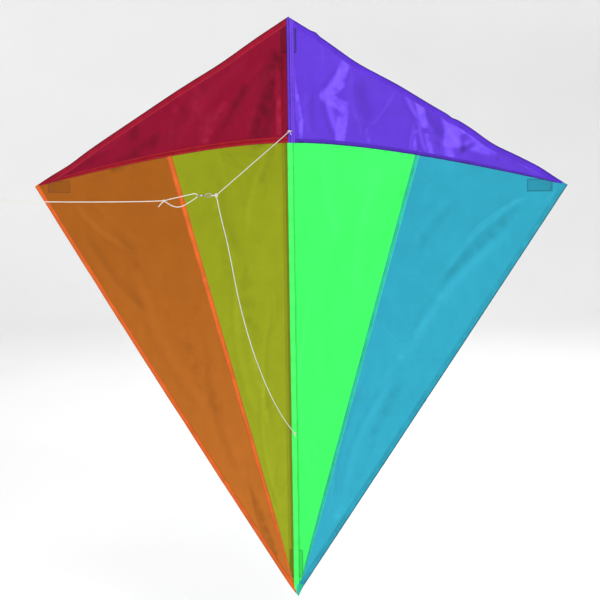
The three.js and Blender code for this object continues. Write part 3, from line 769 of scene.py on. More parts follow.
def fold_heights(x, z):
    """The folds' height at each point, in millimetres towards the front, and their painted highlight and
    shade.
    """
    height, painted_crease_shading = np.zeros_like(x), np.zeros_like(x)
    for (ax, az), (bx, bz), width, high in FOLDS + CREASES:
        length = math.hypot(bx - ax, bz - az)
        ux, uz = (bx - ax) / length, (bz - az) / length
        along = ((x - ax) * ux + (z - az) * uz) / length
        bow = 0.06 * length * np.sin(math.pi * np.clip(along, 0, 1))
        off = ((z - az) * ux - (x - ax) * uz + bow) / (0.72 * width)
        taper = np.clip(np.minimum((along + 0.12) / 0.3, (1.12 - along) / 0.3), 0, 1)
        taper = taper * taper * (3 - 2 * taper)
        height += high * np.exp(-np.abs(off) ** 1.3) * taper
        lit = np.exp(-(((off - 0.35) / 0.7) ** 2)) - 0.55 * np.exp(-(((off + 0.75) / 0.55) ** 2))
        painted_crease_shading += high * lit * taper
    return height, painted_crease_shading


def glints(x, z):
    """How far each point's facet turns to the light, from -1 to 1."""
    bright, dull = np.zeros_like(x), np.zeros_like(x)
    for (ax, az), (bx, bz), width, strength in GLINTS:
        length = math.hypot(bx - ax, bz - az)
        ux, uz = (bx - ax) / length, (bz - az) / length
        along = (x - ax) * ux + (z - az) * uz
        past = np.maximum(np.maximum(-along, along - length), 0)
        off = np.hypot((z - az) * ux - (x - ax) * uz, past) / width
        patch = strength * (np.clip((1.2 - off) / 0.6, 0, 1) if strength > 0.4 else np.exp(-(off ** 2)))
        bright, dull = np.maximum(bright, patch), np.minimum(dull, patch)
    return bright + dull


def crinkle(x, z):
    """Small random waves left in the cloth from rolling it up."""
    draw = np.random.default_rng(11)
    total = np.zeros_like(x)
    for length in np.linspace(22, 95, 14):
        way, phase = draw.uniform(0, math.pi), draw.uniform(0, 2 * math.pi)
        wave = 2 * math.pi / length
        bent = 6 * np.sin((x * math.sin(way) - z * math.cos(way)) * wave * 0.37 + phase)
        total += 0.0016 * length * np.sin((x * math.cos(way) + z * math.sin(way) + bent) * wave + phase)
    return total


def pucker(x, z):
    """Gathers where the stitching draws the seams and the hems in."""
    ax = np.abs(x)
    above = z - arch(arch_t(ax))[1]
    wave = np.sin(ax * 0.83 + 2.1 * np.sin(ax * 0.061)) * (0.6 + 0.4 * np.sin(ax * 0.17))
    total = 0.28 * np.exp(-np.abs(above) / 5) * wave
    top_x, top_z = arch(MEET)
    seam_x = LOWER_SEAM_FOOT + (top_x - LOWER_SEAM_FOOT) * (z + TAIL_DROP) / (top_z + TAIL_DROP)
    total += 0.22 * np.exp(-np.abs(ax - seam_x) / 5) * np.sin(z * 0.71 + np.sin(z * 0.05)) * (above < 0)
    total += 0.16 * np.exp(-ax / 5) * np.sin(z * 0.78 + 1.7 * np.sin(z * 0.043))
    return total


def calm(x, z):
    """0 where the cloth is held flat, at the pockets and the bridle points, and 1 well away."""
    still = np.ones_like(x)
    for px, pz, rx, rz in ((315, 0, 21, 11), (-315, 0, 21, 11), (0, 189, 13, 22), (0, -499, 12, 22),
                           (0, 71.5, 7, 7), (0, -321.5, 7, 7), (0, 0, 9, 18)):
        reach = np.maximum(np.abs(x - px) / rx, np.abs(z - pz) / rz)
        still *= np.clip((reach - 1) * 1.6, 0, 1) ** 0.8
    return still


def sail_y(x, z):
    """The middle of the cloth at each point, with its folds."""
    x, z = np.asarray(x, float), np.asarray(z, float)
    height = fold_heights(x, z)[0] + crinkle(x, z) + pucker(x, z)
    return SAIL_MID + SAIL_BOW * (x / HALF_SPAN) ** 2 - np.tanh(height / 1.3) * 1.3 * calm(x, z)


def on_sail(x, z, back=0.0):
    """Points on the sail, moved back by so many millimetres. The tail's tip turns a little aside."""
    x, z = np.asarray(x, float), np.asarray(z, float)
    kick = 2.2 * np.clip((-524 - z) / 20, 0, 1) ** 2
    return np.stack([x + kick, sail_y(x, z) + back, z], axis=-1)


CREASES = scattered_creases()

# ---------------------------------------------------------------- panels, hems and seams


def panel(name, patch, side, across, up, material):
    """One sewn panel: a fine grid laid on the sail between its edges."""
    v, u = np.meshgrid(np.linspace(0, 1, up + 1), np.linspace(0, 1, across + 1), indexing="ij")
    x, z = patch(u, v, side)
    rows = on_sail(side * x, z)
    # Painted crease highlight and shade, and painted facet highlights and shade, carried on the points.
    painted_crease_shading = fold_heights(side * x, z)[1] * calm(side * x, z)
    bm = sewn(rows, {"fold": painted_crease_shading, "glint": glints(side * x, z)})
    bmesh.ops.remove_doubles(bm, verts=bm.verts, dist=0.002 * MM)
    bmesh.ops.dissolve_degenerate(bm, dist=0.001 * MM, edges=bm.edges)
    bmesh.ops.recalc_face_normals(bm, faces=bm.faces)
    if sum(f.normal.y * f.calc_area() for f in bm.faces) > 0:
        bmesh.ops.reverse_faces(bm, faces=bm.faces)
    area = sum(f.calc_area() for f in bm.faces)
    piece = finished(f"{name}_cloth", bm, material)
    wall = piece.modifiers.new("cloth", "SOLIDIFY")
    wall.thickness = CLOTH * MM
    wall.offset = 0
    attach(piece, "kite")
    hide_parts(name)
    return piece, cut_size(x, z), area


def cut_size(x, z):
    """Width and length, in metres, of the smallest oblong that the panel is cut from."""
    sizes = []
    for turn in np.radians(np.arange(0, 90, 2)):
        across = np.ptp(x * math.cos(turn) + z * math.sin(turn))
        along = np.ptp(z * math.cos(turn) - x * math.sin(turn))
        sizes.append((across * along, across * MM, along * MM))
    return min(sizes)[1:]


def nose_patch(u, v, side):
    """A nose panel's point: u runs out along the arched seam and v up to the leading edge."""
    x, low = arch(u)
    t = x / HALF_SPAN
    edge_x, edge_z = leading(t, side)
    return x + v * (edge_x - x), low + v * (edge_z - low)


def inner_patch(u, v, _):
    """An inner panel's point: u runs out from the spine and v up from the tail."""
    foot_z = -TAIL_DROP + TAIL_LAP
    left_z = foot_z + v * (SEAM_CROWN - foot_z)
    right_x, right_z = lower_seam(v)
    top_z = arch(arch_t(u * LOWER_SEAM_TOP))[1]
    lift = top_z - (SEAM_CROWN + u * (arch(MEET)[1] - SEAM_CROWN))
    return u * right_x, left_z + u * (right_z - left_z) + v * v * lift


def outer_patch(u, v, _):
    """An outer panel's point: u runs out from the lower seam and v up from the tail."""
    left_x, left_z = lower_seam(v)
    right_x, right_z = trailing(v)
    t = MEET + u * (1 - MEET)
    top_x, top_z = arch(t)
    meet_x, meet_z = arch(MEET)
    off_x = top_x - (meet_x + u * (HALF_SPAN - meet_x))
    off_z = top_z - meet_z * (1 - u)
    return (left_x + u * (right_x - left_x) + v ** 3 * off_x,
            left_z + u * (right_z - left_z) + v ** 3 * off_z)


def band(name, outer, inner, thickness, back, material, gather=0.15, step=1.6):
    """A folded strip of cloth between two lines on the sail, each a function from 0 to 1."""
    ends = np.array([outer(np.array([0.0, 1.0])), inner(np.array([0.0, 1.0]))])
    length = np.linalg.norm(ends[0][:, 1] - ends[0][:, 0])
    s = np.linspace(0, 1, max(8, round(length / step)) + 1)
    around = np.array([0.0, 0.02, 0.1, 0.2, 0.5, 0.8, 0.9, 0.98, 1.0])
    fullness = np.array([0.1, 0.55, 1.0, 0.72, 1.0, 0.72, 1.0, 0.55, 0.1])
    share = np.concatenate([around, around[::-1][1:-1], around[:1]])
    full = np.concatenate([fullness, -fullness[::-1][1:-1], fullness[:1]])
    (ox, oz), (ix, iz) = outer(s), inner(s)
    x = ox[:, None] + share[None] * (ix - ox)[:, None]
    z = oz[:, None] + share[None] * (iz - oz)[:, None]
    wave = 1 + gather * np.sin(s * length * 0.9 + 3 * np.sin(s * 17))[:, None]
    rows = on_sail(x, z, back)
    rows[..., 1] -= full[None] * wave * thickness / 2
    mark = np.repeat(share[None], len(s), axis=0)
    bm = close_round(sewn(rows, {"across": mark}))
    piece = finished(name, bm, material)
    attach(piece, "kite")
    return piece


def stitching(name, line, reach, material, back=0.0, pitch=3.2, thread=0.17):
    """A row of stitches: one thread that dips through the layers, seen as dashes on both sides."""
    s = np.linspace(0, 1, 400)
    x, z = line(s)
    flat = np.column_stack([x, np.zeros_like(x), z])
    flat = evenly(flat, pitch / 7)
    points = on_sail(flat[:, 0], flat[:, 2], back)
    length = np.linalg.norm(np.diff(flat, axis=0), axis=1).sum()
    phase = np.linspace(0, length, len(flat)) * 2 * math.pi / pitch
    points[:, 1] -= np.tanh(2.5 * np.sin(phase)) * reach
    piece = tube(name, points, thread, 5, material)
    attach(piece, "kite")
    return piece


def mirrored(line, side):
    """A line of the right half, on the given side."""
    return lambda s: (side * line(s)[0], line(s)[1])


def inset(line, inwards, side_in, start=0.0, end=1.0):
    """A line moved inwards, and cut back to start and end shares of its length."""
    def moved(s):
        t = start + s * (end - start)
        x, z = line(t)
        return x + side_in[0] * inwards, z + side_in[1] * inwards
    return moved


def hems(side, word, lead_cloth, trail_cloth, lead_thread, trail_thread, trail_width):
    """The folded leading and trailing edges of one half, with their stitching."""
    def edge(s):
        return leading(0.004 + 0.984 * s, side)

    lead_back = HEM / LEAD_LENGTH
    lead_inner = inset(edge, HEM, LEAD_IN)
    trail_inner = inset(trailing, trail_width, TRAIL_IN)

    def lead_in(s):
        """The leading hem's inner edge, mitred at the nose and cut along the arched seam."""
        x, z = lead_inner(s)
        slide = (1 - s) ** 8 * -lead_inner(np.zeros(1))[0][0]
        x, z = x + slide, z - slide * NOSE_RISE / HALF_SPAN
        return x, np.maximum(z, arch(arch_t(x))[1] - 0.4)

    def trail_in(s):
        """The trailing hem's inner edge, mitred at the tail."""
        x, z = trail_inner(s)
        slide = (1 - s) ** 12 * -trail_inner(np.zeros(1))[0][0]
        return x + slide, z + slide * TAIL_DROP / HALF_SPAN

    lead_row = inset(edge, HEM - STITCH_MARGIN, LEAD_IN, 2 * lead_back, 1 - 3.2 * lead_back)
    trail_row = inset(trailing, trail_width - STITCH_MARGIN, TRAIL_IN, 0.03, 0.985)
    return [
        band(f"leading_hem_{word}", mirrored(edge, side), mirrored(lead_in, side), 0.9, 0, lead_cloth),
        band(f"trailing_hem_{word}", mirrored(trailing, side), mirrored(trail_in, side), 0.96, -0.25,
             trail_cloth),
        stitching(f"leading_stitches_{word}", mirrored(lead_row, side), 0.48, lead_thread),
        stitching(f"trailing_stitches_{word}", mirrored(trail_row, side), 0.52, trail_thread, -0.25),
    ]


def arch_seam(side, word, cloth, thread, above):
    """The upper panel's folded edge, lapped over the panels below it."""
    def low(s):
        x, z = arch(s * 0.97)
        return x, z - 1 + 0.6 * s ** 6

    def high(s):
        x, z = arch(s * 0.97)
        return x, z + above * (1 - 0.45 * s ** 3 - 0.4 * s ** 14)

    def row(offset):
        def line(s):
            x, z = arch(0.004 + s * 0.94)
            return x, z + offset * (1 - 0.4 * s ** 3)
        return line

    return [
        band(f"arch_seam_{word}", mirrored(low, side), mirrored(high, side), 0.6, -0.32, cloth, 0.35),
        stitching(f"arch_stitches_low_{word}", mirrored(row(0.4), side), 0.46, thread, -0.22),
        stitching(f"arch_stitches_high_{word}", mirrored(row(above - 1.4), side), 0.46, thread, -0.22),
    ]


def lower_lap(side, word, cloth, thread, wide, narrow, offset):
    """The folded seam between the inner and outer panels, narrowing to the tail."""
    def edge(share):
        def line(s):
            t = 0.012 + 0.994 * s
            x, z = lower_seam(t)
            width = narrow + (wide - narrow) * t
            return x + (share + offset) * width * (0.35 + 0.65 * np.clip(t * 6, 0, 1)), z
        return line

    return [
        band(f"lower_seam_{word}", mirrored(edge(-0.5), side), mirrored(edge(0.5), side), 0.56, -0.18,
             cloth, 0.25),
        stitching(f"lower_stitches_in_{word}", mirrored(edge(-0.34), side), 0.4, thread, -0.1),
        stitching(f"lower_stitches_out_{word}", mirrored(edge(0.34), side), 0.4, thread, -0.1),
    ]


def centre_seam(name, low, high, left, right, cloth, thread):
    """The lapped seam down the spine."""
    def line(x):
        def place(s):
            z = low + s * (high - low)
            room = HALF_SPAN * np.where(z > 0, (NOSE_RISE - z) / NOSE_RISE, (z + TAIL_DROP) / TAIL_DROP)
            return np.clip(x, -0.9 * room, 0.9 * room), z
        return place

    return [
        band(name, line(left), line(right), 0.56, -0.5, cloth, 0.3),
        stitching(f"{name}_stitches_left", line(left + 1.1), 0.5, thread, -0.36),
        stitching(f"{name}_stitches_right", line(right - 1.1), 0.5, thread, -0.36),
    ]


def tail_tip(cloth):
    """The turned-up corner at the very tail."""
    def outer(s):
        return trailing(0.032 * s)

    def inner(s):
        return -0.03 * HALF_SPAN * s * (1 - s) ** 2, -TAIL_DROP + 17 * s

    return band("tail_tip_fold", outer, inner, 0.6, -0.9, cloth)


# ---------------------------------------------------------------- pockets, rods and fittings


def spar_y(x):
    """The cross spar's middle behind x: close to the sail at the pockets, further off at the spine."""
    lift = (1 - (x / WING_POCKET["middle"]) ** 2) ** 2
    back = SAIL_MID + 0.3 + SAIL_BOW * (x / HALF_SPAN) ** 2
    return back + ROD_STANDOFF + SPAR_LIFT * lift


WING_TURN = math.atan(2 * SAIL_BOW * WING_POCKET["middle"] / HALF_SPAN ** 2)


def wing_place(side):
    """From a pocket's own frame, closed end at +X, to its place at a wing tip."""
    out = WING_POCKET["middle"]
    place = Matrix.Translation(Vector((side * out, spar_y(out), 0)) * MM)
    return place @ Matrix.Rotation(side * WING_TURN, 4, "Z") @ Matrix.Diagonal((side, 1, 1, 1))


def spine_place(z, end):
    """From a pocket's own frame to its place on the spine, closed end up or down."""
    return (Matrix.Translation(Vector((0, SPINE_Y, z)) * MM)
            @ Matrix.Rotation(-end * math.pi / 2, 4, "Y"))


def pocket(name, size, place, material):
    """A webbing pocket: flat flanges and a raised tunnel for the rod, closed at one end."""
    half, half_width = size["length"] / 2, size["width"] / 2
    along = np.concatenate([np.linspace(-half, half - 2.2, 18), np.linspace(half - 1.6, half, 6)])
    across = np.linspace(-half_width, half_width, 41)
    a, c = np.meshgrid(along, across, indexing="ij")
    closing = np.clip((half - a) / 1.5, 0, 1) ** 0.5
    mouth = 1 + 0.04 * np.exp(-(a + half) / 2)
    tunnel = closing * mouth / (1 + (np.abs(c) / 4.1) ** 6)
    out = -3.2 + 6.65 * tunnel
    bm = sewn(np.stack([a, out, c], axis=-1))
    uv = bm.loops.layers.uv.active
    for face in bm.faces:
        for loop in face.loops:
            loop[uv].uv = (loop.vert.co.x, loop.vert.co.z)
    bmesh.ops.transform(bm, matrix=place, verts=bm.verts)
    bmesh.ops.recalc_face_normals(bm, faces=bm.faces)
    if sum(f.normal.y for f in bm.faces) < 0:
        bmesh.ops.reverse_faces(bm, faces=bm.faces)
    area = sum(f.calc_area() for f in bm.faces)
    piece = finished(f"{name}_webbing", bm, material)
    wall = piece.modifiers.new("webbing", "SOLIDIFY")
    wall.thickness = 0.62 * MM
    wall.offset = 0
    edge = piece.modifiers.new("soft_edges", "BEVEL")
    edge.width = 0.12 * MM
    edge.segments = 2
    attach(piece, "kite")
    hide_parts(name)
    return piece


def box_stitches(name, size, middle, upright, thread):
    """Stitches along a pocket's two long sides and a zigzag across its closed end."""
    half, half_width = size["length"] / 2 - 1.2, size["width"] / 2 - 1.3
    made = []

    def placed(a, c):
        end = np.sign(middle)
        if upright:
            return c, middle + end * a
        return middle + end * a, c

    def run(a0, c0, a1, c1):
        return lambda s: placed(a0 + s * (a1 - a0), c0 + s * (c1 - c0))

    runs = {"top": (-half, half_width, half, half_width), "low": (-half, -half_width, half, -half_width)}
    for word, (a0, c0, a1, c1) in runs.items():
        made.append(stitching(f"{name}_stitches_{word}", run(a0, c0, a1, c1), 0.72, thread, 0.34, 2.6))

    def zigzag(s):
        turns = 5
        swing = 2 * np.abs(2 * ((s * turns) % 1) - 1) - 1
        return placed(half + 1.6 * swing - 1.2, half_width * (1.9 * s - 0.95))

    made.append(stitching(f"{name}_zigzag", zigzag, 0.72, thread, 0.34, 2.2))
    return made


def cap(name, place, end, material):
    """A soft end cap on a rod, with a rolled mouth and a domed end."""
    wall = 2.75
    outline = [
        (end, 0.0), (end - 0.12, 1.2), (end - 0.5, 2.2), (end - 1.1, wall), (end - 10.8, wall),
        (end - 11.2, wall + 0.12), (end - 11.8, wall + 0.05), (end - 12, wall - 0.2), (end - 11.9, BORE_R),
        (end - 1.2, BORE_R), (end - 1.2, 0.0),
    ]
    bm = turned(outline, place @ Matrix.Rotation(math.pi / 2, 4, "Y"), 36)
    piece = finished(f"{name}_moulded", bm, material)
    ready(piece, "kite", "vinyl", name)
    return piece


def ready(piece, body, slot, *nodes):
    """Puts a piece on its body and hides the CAD nodes that it stands for. Its slot, a finish's name, is not
    used.
    """
    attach(piece, body)
    if nodes:
        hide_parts(*nodes)
    return piece


def spars(material):
    """The spine and the bowed cross spar."""
    bottom, top = TAIL_POCKET["middle"] - 16.2, NOSE_POCKET["middle"] + 16.2
    z = np.linspace(bottom + 0.3, top - 0.3, 120)
    spine = tube("spine_tube", np.column_stack([0 * z, 0 * z + SPINE_Y, z]), ROD_R, 32, material)
    ready(spine, "kite", "rod", "spine_rod")
    end = WING_POCKET["middle"] + 13.1
    x = np.linspace(-end, end, 200)
    spar = tube("cross_spar_tube", np.column_stack([x, spar_y(x), 0 * x]), ROD_R, 32, material)
    ready(spar, "kite", "rod", "cross_spar")


def ring_outline(length, radius, bore, lip):
    """Half section of a tube with rounded lips."""
    half = length / 2
    return [
        (-half, bore + 0.1), (-half, radius - lip), (-half + lip * 0.3, radius - lip * 0.3),
        (-half + lip, radius), (half - lip, radius), (half - lip * 0.3, radius - lip * 0.3),
        (half, radius - lip), (half, bore + 0.1), (half - 0.2, bore), (-half + 0.2, bore),
    ]


def cross_fitting(material):
    """The moulded fitting: two crossing tubes with end beads, ribs and a flat pad on the back."""
    spine = Matrix.Translation((0, SPINE_Y * MM, 0))
    spar = Matrix.Translation((0, SPAR_Y * MM, 0)) @ Matrix.Rotation(math.pi / 2, 4, "Y")
    parts = [turned(ring_outline(length, FITTING_R, BORE_R, 0.5), place) for length, place in
             ((22, spine), (26, spar))]
    bead = ring_outline(1.8, 3.6, 2.4, 0.5)
    parts += [turned(bead, spine @ Matrix.Translation((0, 0, z * MM))) for z in (-9.8, 9.8)]
    parts += [turned(bead, spar @ Matrix.Translation((0, 0, x * MM))) for x in (-11.8, 11.8)]
    parts.append(rounded_block((-9, -1.6, -7), (9, 0, 7), 0.7))
    parts += [rounded_block((x, -8.6, -3.3), (x + 0.8, -2.2, 3.3), 0.2) for x in (-3.4, 2.6)]
    parts += [rounded_block((x, -2.4, -5.2), (x + 1, -1, 5.2), 0.25) for x in (-8.2, 7.2)]
    piece = finished("cross_fitting_moulded", joined(parts), material)
    sharp_edges(piece)
    ready(piece, "kite", "vinyl", "cross_fitting")


def sharp_edges(piece):
    """Keeps corners crisp on a smooth-shaded piece."""
    piece.data.set_sharp_from_angle(angle=math.radians(40))


def stop_ring(name, z, material):
    """A ring that keeps the fitting in its place on the spine."""
    bm = turned(ring_outline(5, FITTING_R, BORE_R, 0.6), Matrix.Translation((0, SPINE_Y * MM, z * MM)))
    piece = finished(f"{name}_moulded", bm, material)
    sharp_edges(piece)
    ready(piece, "kite", "vinyl", name)


# ---------------------------------------------------------------- cords, knots and the swivel


def knot_line(centre, ahead, size=1.0):
    """The line of an overhand knot: three lobes wound round the cord."""
    t = np.linspace(0, 2 * math.pi, 73)
    shape = np.column_stack([
        np.sin(t) + 2 * np.sin(2 * t), np.cos(t) - 2 * np.cos(2 * t), -1.5 * np.sin(3 * t),
    ]) * 0.40 * size
    turn = np.array(Vector(ahead).to_track_quat("Z", "Y").to_matrix())
    return shape @ turn.T + np.array(centre)


def tied(name, centre, ahead, size, radius, material):
    """A tight overhand knot of twine."""
    return twine(name, knot_line(centre, ahead, size), material, closed=True, radius=radius)


def cord_between(name, start, route, end, material):
    """A twine from one knot, along its route, to another."""
    points = smooth_route([start, *route, end], 0.45)
    piece = twine(f"{name}_twine", points, material)
    length = np.linalg.norm(np.diff(points, axis=0), axis=1).sum() * MM
    return piece, [tuple(p) for p in evenly(points, 1.5) * MM], length


def declare(path, exit):
    """Works out a cord's exit point in metres and its path as lists, and keeps neither."""
    tuple(c * MM for c in exit)
    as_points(path)


def towards(centre, point, distance):
    """The point at a distance from a knot's middle, on the side of another point."""
    way = np.array(point, float) - np.array(centre, float)
    return tuple(np.array(centre, float) + way / np.linalg.norm(way) * distance)


def anchor_tie(name, centre, ahead, material):
    """The bridle's tie: a turn of twine round the spine, knotted in front of the sail."""
    back = SPINE_Y + ROD_R + 0.3 + CORD_R
    middle, reach = (back + ANCHOR_Y) / 2, (back - ANCHOR_Y) / 2
    angle = np.linspace(0, 2 * math.pi, 73)
    oval = np.column_stack([3.2 * np.sin(angle), middle + reach * np.cos(angle), 0 * angle + centre[2]])
    loop = twine(f"{name}_loop", oval, material, closed=True, radius=0.56)
    ready(loop, "kite", "string", name)
    ready(tied(f"{name}_knot", centre, ahead, 1.0, 0.52, material), "kite", "string")
    steps = [(0, 0, 0), (1.0, -0.2, -2.0), (1.8, 0.5, -4.8)]
    tail = [tuple(c + d for c, d in zip(centre, step)) for step in steps]
    tail = twine(f"{name}_tail", smooth_route(tail, 0.45), material, radius=0.5)
    ready(tail, "kite", "string")


def bridle(material):
    """The two legs from their ties to the tow knot, and the loop that the snap hooks into."""
    anchor_tie("upper_anchor_tie", UPPER_ANCHOR, (-0.45, -0.7, -0.4), material)
    anchor_tie("lower_anchor_tie", LOWER_ANCHOR, (-0.3, -0.5, 0.7), material)
    start, end = towards(UPPER_ANCHOR, UPPER_LEG[0], 1.5), towards(TOW_KNOT, UPPER_LEG[-1], 1.3)
    upper, path, length = cord_between("upper_bridle_leg", start, UPPER_LEG, end, material)
    declare(path, UPPER_ANCHOR)
    ready(upper, "bridle", "string", "upper_bridle_leg")
    route = LOWER_LEG[::-1]
    start, end = towards(LOWER_ANCHOR, route[0], 1.7), towards(TOW_KNOT, route[-1], 1.3)
    lower, path, length = cord_between("lower_bridle_leg", start, route, end, material)
    declare(path, LOWER_ANCHOR)
    ready(lower, "bridle", "string", "lower_bridle_leg")
    angle = np.linspace(0, 2 * math.pi, 61)
    centre = 0.45 + 0.3 + CORD_R - 2.4
    loop = np.array([on_line((centre + 2.4 * math.cos(a), 2.4 * math.sin(a), 0)) for a in angle])
    ready(twine("tow_loop_twine", loop, material, closed=True, radius=0.56), "bridle", "string", "tow_loop")
    ready(tied("tow_knot", TOW_KNOT, LINE_AHEAD, 1.8, 0.78, material), "bridle", "string")


def flying_gear(material):
    """The loop through the swivel, its knot, the line and the hand loop at its end."""
    knot_at, end_at = on_line(LINE_KNOT), on_line(END_KNOT)
    route = [on_line(p) for p in LINE_LOOP]
    start, end = towards(knot_at, route[0], 1.2), towards(knot_at, route[-1], 1.2)
    loop, path, length = cord_between("line_loop", start, route, end, material)
    declare(path, knot_at)
    ready(loop, "line", "string", "line_loop")
    ready(tied("line_knot_tied", knot_at, LINE_AHEAD, 1.08, 0.56, material), "line", "string", "line_knot")
    tail = smooth_route([knot_at, *(on_line(p) for p in LINE_TAIL)], 0.45)
    ready(twine("line_tail", tail, material), "line", "string")
    route = [on_line(p) for p in FLYING_LINE]
    start, end = towards(knot_at, route[0], 1.2), towards(end_at, route[-1], 1.2)
    line, path, length = cord_between("flying_line", start, route, end, material)
    end_knot = tied("end_knot_tied", end_at, LINE_AHEAD, 1.08, 0.56, material)
    ready(end_knot, "line", "string", "end_knot")
    declare(path, knot_at)
    ready(line, "line", "string", "flying_line")
    route = [on_line(p) for p in END_LOOP]
    start, end = towards(end_at, route[0], 1.2), towards(end_at, route[-1], 1.2)
    hand_loop, path, length = cord_between("end_loop", start, route, end, material)
    declare(path, end_at)
    ready(hand_loop, "line", "string", "end_loop")


def line_matrix(x=0.0):
    """Places a piece made along Z so that it runs outwards along the line from x."""
    place = Matrix.Translation(Vector(on_line((x, 0, 0))) * MM)
    return place @ Matrix.Rotation(math.pi + LINE_TURN, 4, "Z") @ Matrix.Rotation(math.pi / 2, 4, "Y")


def swivel(material):
    """The snap's bent wire and gate, the barrel, and the eye that turns in it."""
    wire, length, half = 0.45, 8, 2.1
    bent = [
        (1.5, 0, -half + 0.1), (half * 0.3, 0, -half * 0.7), (0, 0, 0), (half * 0.3, 0, half * 0.75),
        (half, 0, half), (length / 2, 0, half), (length - half, 0, half),
        (length - half * 0.3, 0, half * 0.75), (length, 0, 0), (length - half * 0.25, 0, -half * 0.7),
        (7.03, 0, -half),
    ]
    points = smooth_route([on_line(p) for p in bent], 0.2)
    ready(tube("snap_bent_wire", points, wire, 16, material), "snap", "nickel", "snap_wire")
    gate = smooth_route([on_line((2.7, 0, -half)), on_line((4.4, 0, -half)), on_line((6.1, 0, -half))], 0.2)
    ready(tube("snap_gate_bar", gate, wire, 16, material), "gate", "nickel", "snap_gate")

    barrel = [
        (0, 0), (0, 0.7), (0.15, 0.85), (0.8, 1.42), (1.0, 1.5), (1.3, 1.5), (1.36, 1.42), (1.5, 1.42),
        (1.56, 1.5), (2.6, 1.5), (2.66, 1.42), (2.8, 1.42), (2.86, 1.5), (3.2, 1.5), (3.4, 1.42),
        (4.1, 1.12), (4.2, 1.0), (4.2, 0.75), (3.5, 0.75), (3.5, 1.15), (2.0, 1.15), (2.0, 0),
    ]
    neck = turned([(0, 0), (0, 0.45), (1.1, 0.45), (1.1, 0)], line_matrix(10.05), 20)
    body = finished("swivel_body", joined([turned(barrel, line_matrix(10.9)), neck]), material)
    sharp_edges(body)
    ready(body, "snap", "nickel", "swivel_barrel")
    ready(eye("snap_eye", 8.55, material), "snap", "nickel")

    headed = [(0, 0), (0, 0.85), (0.6, 0.85), (0.6, 0.45), (2.0, 0.45), (2.0, 0)]
    stem = finished("line_eye_stem", turned(headed, line_matrix(13.5), 24), material)
    sharp_edges(stem)
    ready(stem, "line", "nickel", "swivel_line_eye")
    ready(eye("line_eye_ring", 17.45, material), "line", "nickel")


def eye(name, x, material):
    """A wire ring lying flat across its link."""
    angle = np.linspace(0, 2 * math.pi, 49)
    ring = np.array([on_line((x + 1.7 * math.cos(a), 1.7 * math.sin(a), 0)) for a in angle])
    return tube(name, ring, 0.4, 14, material, closed=True)


# ---------------------------------------------------------------- the whole kite


